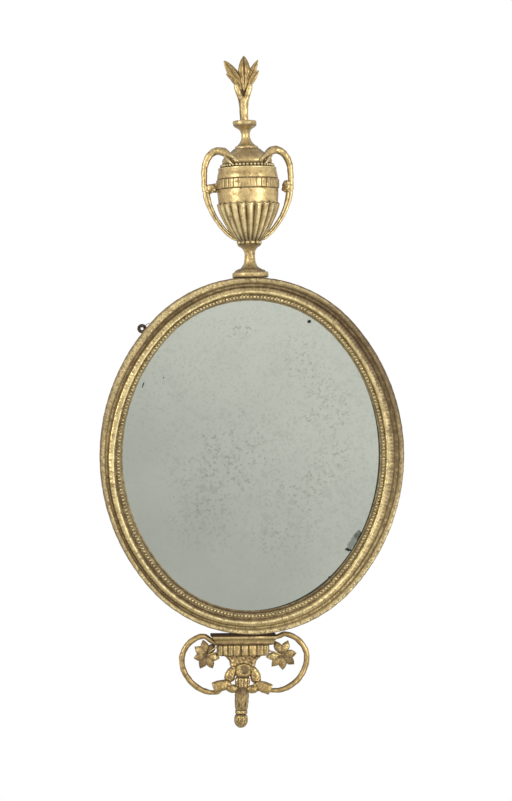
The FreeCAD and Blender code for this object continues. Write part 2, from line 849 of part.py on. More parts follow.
def eye_screws():
    """Screws along the tongue of the eye plate."""
    solids = []
    eye, outward = eye_place()
    for place in eye_screw_places:
        spot = eye + turned_by(180 + outward, place)
        solids.append(screw(spot.x, spot.z, eye_thickness, ring_plate_screw_head))
    return solids


def tie_wire():
    """Stiff wire lying over the eye plate and out along the rim."""
    eye, outward = eye_place()
    stations = []
    for x_share, z_share in wire_shares:
        stations.append((eye.x + eye_radius * x_share, eye.z + eye_radius * z_share, wire_radius))
    return swept(stations, polygon_section(prong_sides), wire_radius)


# Whole mirror

def drilled(piece, fasteners):
    """A piece with the fasteners' holes cut through it."""
    for fastener in fasteners:
        piece = largest(piece.cut(fastener))
    return piece


def build_frame(parts, fasteners):
    """Frame lengths, beads, glass, planks, blocks and nails."""
    back_nails = nails()
    for name, centre, radius, first, sweep in oval_sectors():
        segment = frame_segment(centre, radius, first, sweep)
        parts["frame_" + name] = drilled(segment, back_nails + fasteners)
    parts["bead_string"] = bead_ring()
    parts["mirror_plate"] = oval_plate(glass_rebate_inset + glass_clearance,
                                       glass_front_depth - glass_thickness, glass_front_depth)
    for name, board in zip(("left", "centre", "right"), planks()):
        parts["backboard_" + name] = drilled(board, back_nails)
    parts["glazing_blocks"] = Part.makeCompound(glazing_blocks())
    parts["backboard_nails"] = Part.makeCompound(back_nails)


def build_crest(parts, screws):
    """Urn, finial, handles and stay."""
    envelope = urn_envelope()
    foot = urn_foot()
    stalk = finial_stalk()
    upright = {
        "urn_foot": foot,
        "urn_bead_rings": Part.makeCompound(urn_bead_rings()),
        "urn_body": urn_body(),
        "urn_lid": urn_lid(),
        "finial_stalk": stalk,
    }
    centre_leaf = seated(finial_leaf(centre_leaf_shares), [stalk])
    upright["finial_leaf_centre"] = centre_leaf
    leaf_tables = [("left", left_leaf_shares, left_sprig_shares),
                   ("right", right_leaf_shares, right_sprig_shares)]
    for side, leaf_shares, sprig_shares in leaf_tables:
        leaf = seated(finial_leaf(leaf_shares), [stalk, centre_leaf])
        sprig = seated(finial_leaf(sprig_shares), [stalk, centre_leaf, leaf])
        upright["finial_leaf_" + side] = leaf
        upright["finial_sprig_" + side] = sprig
    for side, sign in (("left", -1), ("right", 1)):
        strap = seated(handle_strap(sign), [envelope])
        neck = seated(handle_neck(sign), [envelope, strap])
        upright["handle_strap_" + side] = strap
        upright["handle_neck_" + side] = neck
        upright["handle_boss_" + side] = seated(handle_boss(sign), [envelope, strap, neck])
    upright["crest_stay"] = crest_stay()
    frame_outline = oval_plate(-seat_gap, -overrun, overrun)
    for name, shape in upright.items():
        placed = crest_place(shape)
        if name == "urn_foot":
            placed = seated(placed, [frame_outline])
        if name in ("urn_foot", "urn_body", "crest_stay"):
            placed = drilled(placed, screws)
        parts[name] = placed
    parts["crest_stay_screws"] = Part.makeCompound(screws)


def build_apron(parts, screws):
    """Board, cornice, frieze, corbel, pendant, husks, scrolls, sprays and stay."""
    board = apron_board()
    cornice = apron_cornice()
    frieze = apron_frieze()
    corbel = apron_corbel()
    hood, calyx, bud = [pendant_place(piece) for piece in pendants()]
    hood = seated(hood, [corbel])
    stay = apron_stay()
    fixed = [board, cornice, frieze, corbel, hood]
    names = ["apron_board", "apron_cornice", "apron_frieze", "apron_corbel", "pendant_hood"]
    for name, piece in zip(names, fixed):
        parts[name] = drilled(piece, screws)
    parts["pendant_calyx"] = calyx
    parts["pendant_bud"] = bud
    for side, sign, rise in (("left", -1, left_scroll_rise), ("right", 1, right_scroll_rise)):
        bell = seated(pendant_place(husk(bell_husk_shares, sign)), fixed + [calyx])
        leaf = seated(pendant_place(husk(husk_leaf_shares, sign)), fixed + [calyx, bell])
        spray = seated(leaf_spray(sign), fixed)
        parts["bell_husk_" + side] = bell
        parts["husk_leaf_" + side] = leaf
        parts["leaf_spray_" + side] = spray
        parts["scroll_" + side] = seated(scroll(sign, rise), fixed + [bell, spray])
    parts["apron_stay"] = drilled(stay, screws)
    parts["apron_stay_screws"] = Part.makeCompound(screws)


def crest_screws():
    """Screws through the crest's stay, already in their final place."""
    return [crest_place(screw(0, rise, stay_thickness, screw_head)) for rise in crest_screw_rises]


def apron_screws():
    """Screws through the apron's stay."""
    return [screw(apron_x, apron_top() - drop, stay_thickness, screw_head) for drop in apron_screw_drops]


def plate_screws():
    """Screws through both brass plates."""
    solids = []
    for x in (-ring_plate_x, ring_plate_x):
        for rise in ring_plate_screw_rises:
            solids.append(screw(x, ring_pin_z() + rise, ring_plate_thickness, ring_plate_screw_head))
    return solids


def main():
    """Build every piece and write it to its own file."""
    parts = {}
    brass_screws = plate_screws()
    iron_screws = eye_screws()
    stay_screws = crest_screws()
    lower_screws = apron_screws()
    build_frame(parts, brass_screws + iron_screws + stay_screws + lower_screws)
    build_crest(parts, stay_screws)
    build_apron(parts, lower_screws)
    for side, x in (("left", -ring_plate_x), ("right", ring_plate_x)):
        parts["ring_plate_" + side] = drilled(ring_plate(x), brass_screws)
        parts["hanging_ring_" + side] = hanging_ring(x)
    parts["ring_plate_screws"] = Part.makeCompound(brass_screws)
    parts["steady_eye"] = drilled(steady_eye(), iron_screws)
    parts["steady_eye_screws"] = Part.makeCompound(iron_screws)
    beside_frame = oval_plate(-seat_gap, -overrun, overrun)
    parts["tie_wire"] = seated(tie_wire(), [beside_frame, parts["steady_eye"]])
    os.makedirs("parts", exist_ok=True)
    for name, shape in parts.items():
        shape.exportStep("parts/" + name + ".step")


main()
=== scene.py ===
import logging
import math
from dataclasses import dataclass, field
from enum import Enum
from typing import Callable, Iterable, Sequence

import bmesh
import bpy
import numpy as np
from mathutils import Matrix, Vector


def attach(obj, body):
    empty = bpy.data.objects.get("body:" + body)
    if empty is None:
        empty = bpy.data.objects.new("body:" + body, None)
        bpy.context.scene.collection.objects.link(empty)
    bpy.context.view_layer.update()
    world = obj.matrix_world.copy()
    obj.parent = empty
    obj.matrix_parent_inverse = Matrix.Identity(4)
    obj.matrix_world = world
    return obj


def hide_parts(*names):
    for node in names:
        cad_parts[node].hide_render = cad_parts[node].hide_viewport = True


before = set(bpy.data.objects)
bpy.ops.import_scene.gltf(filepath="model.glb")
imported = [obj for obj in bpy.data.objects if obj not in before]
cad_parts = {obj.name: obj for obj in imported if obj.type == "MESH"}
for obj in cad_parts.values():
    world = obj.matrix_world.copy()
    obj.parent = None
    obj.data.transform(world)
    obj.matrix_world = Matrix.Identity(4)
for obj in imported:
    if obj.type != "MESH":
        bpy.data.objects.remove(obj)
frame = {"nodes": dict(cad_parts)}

# Oval giltwood mirror with an urn crest and a scrolled apron.
# Lengths are in millimetres until a mesh is made, which turns them to metres.
# A depth lies forward of the frame's back plane, so depth d is at y = -d.

MM = 0.001
FRAME_BODY = "mirror"
LOG = logging.getLogger("mirror")

# An edge that bends by more than this many degrees stays sharp, and a sharp one is bevelled.
SHARP_ANGLE = 50
BEVEL_ANGLE = 40

# Faces are bare wood where they look at the wall this squarely and lie this near to it.
BACK_FACING = 0.7
BACK_DEPTH = 12.0

# Radius at which a hollow counts as full, and how often hollowness is smoothed over the mesh.
FULL_HOLLOW = 5.0
SMOOTHING_PASSES = 2

Array = np.ndarray
Socket = bpy.types.NodeSocket
Material = bpy.types.Material
Object = bpy.types.Object
Mesh = bpy.types.Mesh


class Side(Enum):
    """Which side of the mirror a handed piece is on, as seen from the front."""

    LEFT = -1
    RIGHT = 1

    @property
    def word(self) -> str:
        """The side as the names of pieces and nodes have it."""
        return self.name.lower()


class Across(Enum):
    """Which way a board's grain runs."""

    UPRIGHT = (1.0, 1.0, 0.03)
    LEVEL = (0.03, 1.0, 1.0)


# Nodes and colours


def linear(hex_code: str) -> tuple[float, float, float, float]:
    """Linear colour of an sRGB hex code.

    Args:
        hex_code: six hex digits after a hash sign.

    Returns:
        Red, green, blue and alpha.
    """
    parts = [int(hex_code[place:place + 2], 16) / 255 for place in (1, 3, 5)]
    red, green, blue = [p / 12.92 if p <= 0.04045 else ((p + 0.055) / 1.055) ** 2.4 for p in parts]
    return (red, green, blue, 1.0)


def per(size: float) -> float:
    """Texture scale whose pattern repeats about every size, in millimetres."""
    return 1 / (size * MM)


def add_node(tree: bpy.types.NodeTree, kind: str, settings: dict | None = None,
             inputs: dict | None = None) -> bpy.types.Node:
    """Add one node with its settings and links.

    Args:
        tree: node tree that gets the node.
        kind: type name of the node.
        settings: values of the node's own properties.
        inputs: socket name or number, with a value or the socket that feeds it.

    Returns:
        The new node.
    """
    made = tree.nodes.new(kind)
    for name, value in (settings or {}).items():
        setattr(made, name, value)
    for key, value in (inputs or {}).items():
        if isinstance(value, Socket):
            tree.links.new(value, made.inputs[key])
        else:
            made.inputs[key].default_value = value
    return made


def add_object(name: str, data: bpy.types.ID) -> Object:
    """Add an object with that data to the scene."""
    made = bpy.data.objects.new(name, data)
    bpy.context.scene.collection.objects.link(made)
    return made


class Graph:
    """A material's tree, with short calls for what every finish here needs."""

    def __init__(self, name: str) -> None:
        """Start an empty material of that name."""
        self.material = bpy.data.materials.new(name)
        self.material.use_nodes = True
        self.tree = self.material.node_tree
        self.tree.nodes.clear()
        self.place = self.add("ShaderNodeTexCoord").outputs["Object"]

    def add(self, kind: str, settings: dict | None = None, inputs: dict | None = None) -> bpy.types.Node:
        """Add one node to this material."""
        return add_node(self.tree, kind, settings, inputs)

    def speckle(self, size: float, detail: float, stretch: Sequence[float] = (1.0, 1.0, 1.0),
                seed: float = 0.0) -> Socket:
        """Cloudy pattern around one half.

        Args:
            size: real size of its patches in millimetres.
            detail: how many finer layers it has.
            stretch: scale along each axis, below 1 where patches are drawn out.
            seed: offset in metres that gives another pattern.

        Returns:
            The pattern's value.
        """
        moved = self.add("ShaderNodeMapping", None, {
            "Vector": self.place, "Location": (seed, seed, seed), "Scale": tuple(stretch)})
        noise = self.add("ShaderNodeTexNoise", None, {
            "Vector": moved.outputs[0], "Scale": per(size), "Detail": detail, "Roughness": 0.6})
        return noise.outputs[0]

    def span(self, value: Socket, low: float, high: float, to_low: float = 0.0,
             to_high: float = 1.0) -> Socket:
        """Smooth step of a value between two limits, to two results."""
        settings = {"interpolation_type": "SMOOTHSTEP"}
        made = self.add("ShaderNodeMapRange", settings, {
            "Value": value, "From Min": low, "From Max": high, "To Min": to_low, "To Max": to_high})
        return made.outputs[0]

    def sum(self, operation: str, first: object, second: object) -> Socket:
        """Arithmetic on two values, kept between 0 and 1."""
        made = self.add("ShaderNodeMath", {"operation": operation, "use_clamp": True},
                        {0: first, 1: second})
        return made.outputs[0]

    def blend(self, share: Socket, first: object, second: object) -> Socket:
        """Colour between two colours, each a socket or a linear colour."""
        made = self.add("ShaderNodeMix", {"data_type": "RGBA"}, {0: share, 6: first, 7: second})
        return made.outputs[2]

    def facing_up(self) -> Socket:
        """How far the surface faces up, from 0 at level to 1 straight up."""
        normal = self.add("ShaderNodeNewGeometry").outputs["Normal"]
        upright = self.add("ShaderNodeSeparateXYZ", None, {0: normal})
        return self.span(upright.outputs[2], 0.1, 0.85)

    def trait(self, name: str) -> Socket:
        """Value that a mesh carries on its points."""
        return self.add("ShaderNodeAttribute", {"attribute_name": name}).outputs["Fac"]

    def close(self, shader_inputs: dict, height: Socket, depth: float) -> Material:
        """End the material in a principled shader with bump.

        Args:
            shader_inputs: the shader's sockets and values.
            height: bump pattern between 0 and 1.
            depth: real depth of the bump in millimetres.

        Returns:
            The finished material.
        """
        bump = self.add("ShaderNodeBump", None, {"Height": height, "Distance": depth * MM, "Strength": 1.0})
        shader = self.add("ShaderNodeBsdfPrincipled", None, {**shader_inputs, "Normal": bump.outputs[0]})
        self.add("ShaderNodeOutputMaterial", None, {"Surface": shader.outputs[0]})
        return self.material


# Finishes


@dataclass(frozen=True)
class Gilding:
    """Leaf gold laid on red bole over gesso on carved pine, two centuries old.

    The leaf is painted brighter where it stands out, as painted highlight over some real burnish,
    browned by dirt and painted shade in the hollows, and rubbed through to the bole in patches.
    """

    name: str
    leaf: str = "#DBBF86"
    deep_leaf: str = "#A28B59"
    # Colour of real burnish and of painted highlights.
    burnish_and_highlight: str = "#F6E4AC"
    bole: str = "#8A6845"
    # Colour of dirt and of painted shade.
    grime_and_shade: str = "#5C4628"
    chip: str = "#6D5636"
    rub_size: float = 14.0
    cloud_size: float = 70.0
    crackle_size: float = 3.4
    chip_size: float = 5.5
    bump_depth: float = 0.5
    sparkle: float = 0.4
    # How strongly dirt and painted shade darken the leaf.
    dirt_and_shade: float = 1.0

    def material(self) -> Material:
        """Build the gilding, with patches, rubbed places, painted highlights, dirt with painted shade, and
        chips.
        """
        g = Graph(self.name)
        cloud = g.speckle(self.cloud_size, 4, seed=1.7)
        patches = g.speckle(self.rub_size, 6, seed=0.4)
        fine = g.speckle(self.crackle_size, 4, seed=2.9)
        tone = g.sum("ADD", g.span(patches, 0.36, 0.66, 0.0, 0.6), g.span(cloud, 0.4, 0.68, 0.0, 0.4))
        colour = g.blend(tone, linear(self.leaf), linear(self.deep_leaf))
        # Painted highlight, over some real burnish, where the crest trait is high.
        crest = g.sum("MULTIPLY", g.trait("crest"), g.span(patches, 0.3, 0.6, 1.0, 0.6))
        bright = g.sum("ADD", crest, g.span(fine, 0.44, 0.3, 0.0, self.sparkle))
        colour = g.blend(bright, colour, linear(self.burnish_and_highlight))
        rubbed = g.sum("MULTIPLY", g.span(g.speckle(self.rub_size, 8, seed=5.3), 0.54, 0.68),
                       g.span(fine, 0.35, 0.6, 0.3, 0.85))
        colour = g.blend(rubbed, colour, linear(self.bole))
        # Dirt and painted shade in hollows and on turned-away sides, with fine specks of dirt.
        hollow = g.sum("MULTIPLY", g.trait("hollow"), g.span(patches, 0.25, 0.6, 0.7, 1.0))
        specks = g.span(fine, 0.56, 0.72, 0.0, 0.55)
        # Faces that look up are darkened, as dust and as painted shade.
        dust = g.sum("MULTIPLY", g.facing_up(), g.span(patches, 0.3, 0.6, 0.22, 0.42))
        dirt_and_shade = g.sum("ADD", g.sum("MULTIPLY", g.sum("ADD", hollow, specks), self.dirt_and_shade), dust)
        colour = g.blend(dirt_and_shade, colour, linear(self.grime_and_shade))
        chipped = g.sum("MULTIPLY", g.trait("chips"),
                        g.span(g.speckle(self.chip_size, 4, seed=8.1), 0.5, 0.6))
        colour = g.blend(chipped, colour, linear(self.chip))
        worn = g.sum("ADD", dirt_and_shade, g.sum("ADD", chipped, rubbed))
        height = g.sum("SUBTRACT", g.sum("ADD", g.sum("MULTIPLY", patches, 0.6),
                                         g.sum("MULTIPLY", fine, 0.4)), g.sum("MULTIPLY", chipped, 0.4))
        return g.close({"Base Color": colour, "Metallic": g.span(worn, 0.0, 1.0, 0.78, 0.1),
                        "Roughness": g.span(worn, 0.0, 1.0, 0.3, 0.6)}, height, self.bump_depth)


@dataclass(frozen=True)
class SawnPine:
    """Bare sawn pine gone brown with age, dry and matt, with darker growth lines."""

    name: str
    early: str
    late: str
    dust: str = "#5C4734"
    grain: Across = Across.UPRIGHT
    ring_width: float = 4.0
    bump_depth: float = 0.25
    shine: float = 0.5

    def material(self) -> Material:
        """Build the wood, with its growth lines, stains and dust."""
        g = Graph(self.name)
        lines = g.speckle(self.ring_width, 5, self.grain.value, seed=3.1)
        broad = g.speckle(self.ring_width * 9, 3, self.grain.value, seed=6.2)
        stain = g.speckle(90.0, 5, seed=4.4)
        colour = g.blend(g.span(lines, 0.35, 0.65), linear(self.early), linear(self.late))
        colour = g.blend(g.span(broad, 0.45, 0.75, 0.0, 0.5), colour, linear(self.late))
        colour = g.blend(g.span(stain, 0.45, 0.7, 0.0, 0.7), colour, linear(self.dust))
        return g.close({"Base Color": colour, "Roughness": g.span(lines, 0.3, 0.7, 0.72, 0.88),
                        "Specular IOR Level": self.shine},
                       lines, self.bump_depth)


@dataclass(frozen=True)
class OldMetal:
    """Forged or rolled metal with patches of rust or tarnish over what is left bright."""

    name: str
    bright: str
    dull: str
    patch: float
    metallic: float
    smooth: float
    rough: float

    def material(self) -> Material:
        """Build the metal, with its patches and pitting."""
        g = Graph(self.name)
        patches = g.speckle(self.patch, 7, seed=2.2)
        pits = g.speckle(1.2, 3, seed=7.7)
        dull = g.sum("ADD", g.span(patches, 0.42, 0.62), g.span(pits, 0.62, 0.75, 0.0, 0.6))
        colour = g.blend(dull, linear(self.bright), linear(self.dull))
        return g.close({"Base Color": colour, "Metallic": g.span(dull, 0.0, 1.0, self.metallic, 0.25),
                        "Roughness": g.span(dull, 0.0, 1.0, self.smooth, self.rough)}, pits, 0.15)


@dataclass(frozen=True)
class Mark:
    """A place on the glass where the silvering is worn or foxed, by its centre and size."""

    x: float
    z: float
    width: float
    height: float
    tilt: float = 0.0


@dataclass(frozen=True)
class SilveredGlass:
    """Blown plate silvered with tin and mercury, grey-green, hazed and foxed with age.

    It gives a soft, slightly dull reflection with dark specks where the silvering has gone.
    """

    name: str = "mercury_silvered_glass"
    clear: str = "#BDC1B6"
    haze: str = "#9FA399"
    fox: str = "#62655B"
    loss: str = "#2E2F2A"
    haze_run: tuple[float, float, float] = (0.7, 0.0, 0.9)
    sight_width: float = 257.8
    sight_height: float = 309.3
    marks: tuple[Mark, ...] = (
        Mark(115, 268, 8.5, 8), Mark(-176.5, 155, 4.4, 3), Mark(155.5, -243, 5, 4),
        Mark(-217, 141, 2.4, 15, 18), Mark(216.5, -161, 4, 20, 30),
        Mark(193, -188.5, 13, 7, 15),
    )
    patches: tuple[Mark, ...] = (
        Mark(203, -173, 14, 46, 30), Mark(212, -158, 11, 20, 30),
    )
    clusters: tuple[Mark, ...] = (
        Mark(108, 195, 110, 130), Mark(154, 95, 130, 110), Mark(155, -12, 130, 110),
        Mark(-92, -80, 150, 240), Mark(100, -78, 190, 130), Mark(-14, 20, 170, 150),
        Mark(-32, 250, 90, 50), Mark(150, 92, 90, 70), Mark(60, -160, 120, 90),
    )

    def near(self, g: Graph, mark: Mark, ragged: Socket) -> Socket:
        """Distance from a mark's centre as a share of its half size, with a ragged edge."""
        moved = g.add("ShaderNodeMapping", {"vector_type": "TEXTURE"}, {
            "Vector": g.place, "Location": (mark.x * MM, 0.0, mark.z * MM),
            "Rotation": (0.0, math.radians(mark.tilt), 0.0),
            "Scale": (mark.width / 2 * MM, 1.0, mark.height / 2 * MM)})
        reach = g.add("ShaderNodeVectorMath", {"operation": "LENGTH"}, {0: moved.outputs[0]})
        made = g.add("ShaderNodeMath", {"operation": "ADD"}, {0: reach.outputs[1], 1: ragged})
        return made.outputs[0]

    def material(self) -> Material:
        """Build the silvering, with haze, foxing, marks and the dark edge."""
        g = Graph(self.name)
        cloud = g.speckle(150.0, 4, seed=1.1)
        fine = g.speckle(6.0, 1, seed=9.6)
        ragged = g.span(g.speckle(5.0, 4, seed=3.3), 0.3, 0.7, -0.25, 0.25)
        run = g.add("ShaderNodeVectorMath", {"operation": "DOT_PRODUCT"}, {0: g.place, 1: self.haze_run})
        haze = g.sum("ADD", g.span(run.outputs[1], 0.34, -0.38, 0.0, 0.85),
                     g.span(cloud, 0.3, 0.7, -0.08, 0.12))
        colour = g.blend(haze, linear(self.clear), linear(self.haze))
        edge = g.add("ShaderNodeMapping", None, {
            "Vector": g.place, "Location": (0.018, 0.0, -0.008),
            "Scale": (1 / (self.sight_width * MM), 0.0, 1 / (self.sight_height * MM))})
        reach = g.add("ShaderNodeVectorMath", {"operation": "LENGTH"}, {0: edge.outputs[0]})
        where = g.span(run.outputs[1], -0.3, 0.1, 0.05, 0.3)
        spread = g.span(g.speckle(60.0, 4, seed=12.4), 0.3, 0.7, -0.3, 0.3)
        for mark in self.clusters:
            where = g.sum("ADD", where, g.span(self.near(g, mark, spread), 1.25, 0.2, 0.0, 0.65))
        dots = g.sum("MULTIPLY", g.span(fine, 0.52, 0.74, 0.0, 1.3), where)
        blots = g.sum("MULTIPLY", g.span(g.speckle(15.0, 2, seed=4.9), 0.5, 0.8, 0.0, 0.7), where)
        foxing = g.sum("ADD", dots, blots)
        colour = g.blend(g.sum("MULTIPLY", foxing, 0.6), colour, linear(self.fox))
        colour = g.blend(g.span(reach.outputs[1], 1.005, 1.008, 0.0, 0.95), colour, linear(self.loss))
        for mark in self.patches:
            thin = g.span(self.near(g, mark, ragged), 1.1, 0.8, 0.0, 0.5)
            colour = g.blend(thin, colour, linear(self.loss))
        for mark in self.marks:
            colour = g.blend(g.span(self.near(g, mark, ragged), 1.1, 0.7), colour, linear(self.loss))
        return g.close({"Base Color": colour, "Metallic": 1.0,
                        "Roughness": g.span(foxing, 0.0, 1.0, 0.14, 0.4)}, cloud, 0.02)


class Palette:
    """All finishes, each built once."""

    def __init__(self) -> None:
        """Build every finish of the mirror."""
        self.gilding = Gilding("leaf_gilding_on_bole_and_gesso").material()
        self.frame_gilding = Gilding("rubbed_leaf_gilding_on_gesso", leaf="#CFB984", deep_leaf="#97845A",
                                     burnish_and_highlight="#F0DFA6", bole="#86613F", grime_and_shade="#5C4529", rub_size=11.0,
                                     crackle_size=3.2, chip_size=4.4, bump_depth=0.3,
                                     sparkle=0.2).material()
        self.leaf_gilding = Gilding("browned_leaf_gilding_on_carving", leaf="#BFA26A", deep_leaf="#8A7448",
                                    burnish_and_highlight="#DEC88C", bole="#765438", rub_size=12.0, crackle_size=7.0,
                                    bump_depth=0.22, sparkle=0.35, dirt_and_shade=1.15).material()
        self.finial_gilding = Gilding("darkened_leaf_gilding_on_carving", leaf="#A78C5A", deep_leaf="#7C6840",
                                      burnish_and_highlight="#CDB47A", bole="#6B4C34", rub_size=12.0, crackle_size=8.0,
                                      bump_depth=0.12, sparkle=0.25).material()
        self.apron_gilding = Gilding("worn_leaf_gilding_on_bole", leaf="#C4A870", deep_leaf="#8C774B",
                                     burnish_and_highlight="#EBD69C", bole="#7F5E40", rub_size=9.0, crackle_size=4.5,
                                     dirt_and_shade=1.2).material()
        self.worn_gilding = Gilding("gilding_rubbed_to_the_bole", leaf="#AF9460", deep_leaf="#866B46",
                                    bole="#7A5A3A", rub_size=22.0, crackle_size=6.0, bump_depth=0.3,
                                    dirt_and_shade=1.1).material()
        self.glass = SilveredGlass().material()
        self.pine = SawnPine("sawn_pine_backboard", early="#A5825A", late="#775838").material()
        self.wide_pine = SawnPine("sawn_pine_wide_plank", early="#B3925F", late="#866440",
                                  ring_width=5.5).material()
        self.carved_back = SawnPine("bare_carved_pine_back", early="#94704A", late="#6C4C30").material()
        self.dark_wood = SawnPine("stained_pine_board", early="#402C1A", late="#2B1D10", dust="#352516",
                                  grain=Across.LEVEL, shine=0.15).material()
        self.iron = OldMetal("forged_iron_rusted", "#584A40", "#3E2A1E", 6.0, 0.9, 0.45, 0.75).material()
        self.brass = OldMetal("rolled_brass_tarnished", "#B39355", "#6E5936", 9.0, 1.0, 0.32, 0.55).material()


# Shapes as rows of points


def through(points: Sequence[Sequence[float]], steps: int) -> Array:
    """Smooth curve through points, each with any number of values.

    Args:
        points: what the curve passes through.
        steps: how many steps it takes between two points.

    Returns:
        Points along the curve, ends included.
    """
    known = np.asarray(points, float)
    padded = np.vstack([2 * known[0] - known[1], known, 2 * known[-1] - known[-2]])
    shares = np.linspace(0, 1, steps, endpoint=False)[:, None]
    rows = []
    for a, b, c, d in zip(padded, padded[1:], padded[2:], padded[3:]):
        rows.append(0.5 * (2 * b + (c - a) * shares + (2 * a - 5 * b + 4 * c - d) * shares ** 2
                           + (3 * b - a - 3 * c + d) * shares ** 3))
    return np.vstack(rows + [known[-1:]])


def joined(*runs: Array) -> Array:
    """Runs of points one after another, with repeated ends dropped."""
    rows = [runs[0]]
    for run in runs[1:]:
        same = np.allclose(rows[-1][-1], run[0], atol=0.01)
        rows.append(run[1:] if same else run)
    return np.vstack(rows)


def hump(value: Array, middle: float | Array, width: float | Array, power: int = 2) -> Array:
    """Smooth bell that is 1 at its middle and falls off over its width, flatter for a higher power."""
    return np.exp(-((value - middle) / width) ** power)


def ramp(value: Array, start: float | Array, width: float) -> Array:
    """Straight climb from 0 at a start to 1 one width further on, backward if it is negative."""
    return np.clip((value - start) / width, 0, 1)


def turn_about(axis: Sequence[float], places: Array) -> Array:
    """Angle of each place about an upright axis given by its x and depth, 0 at the front."""
    return np.arctan2(places[:, 0] - axis[0], -places[:, 1] - axis[1])


def wobble(points: Array, size: float) -> Array:
    """Smooth unevenness of hand work between -1 and 1.

    Args:
        points: places in millimetres, one per row.
        size: real size of the waves in millimetres.

    Returns:
        One value per point.
    """
    total = np.zeros(len(points))
    for index in range(1, 8):
        heading = np.array([math.sin(2.3 * index), math.cos(1.7 * index), math.sin(4.1 * index + 1.0)])
        total += np.sin(points @ heading * (2 * math.pi / size) * (0.6 + 0.17 * index) + 1.9 * index)
    return total / 4.0


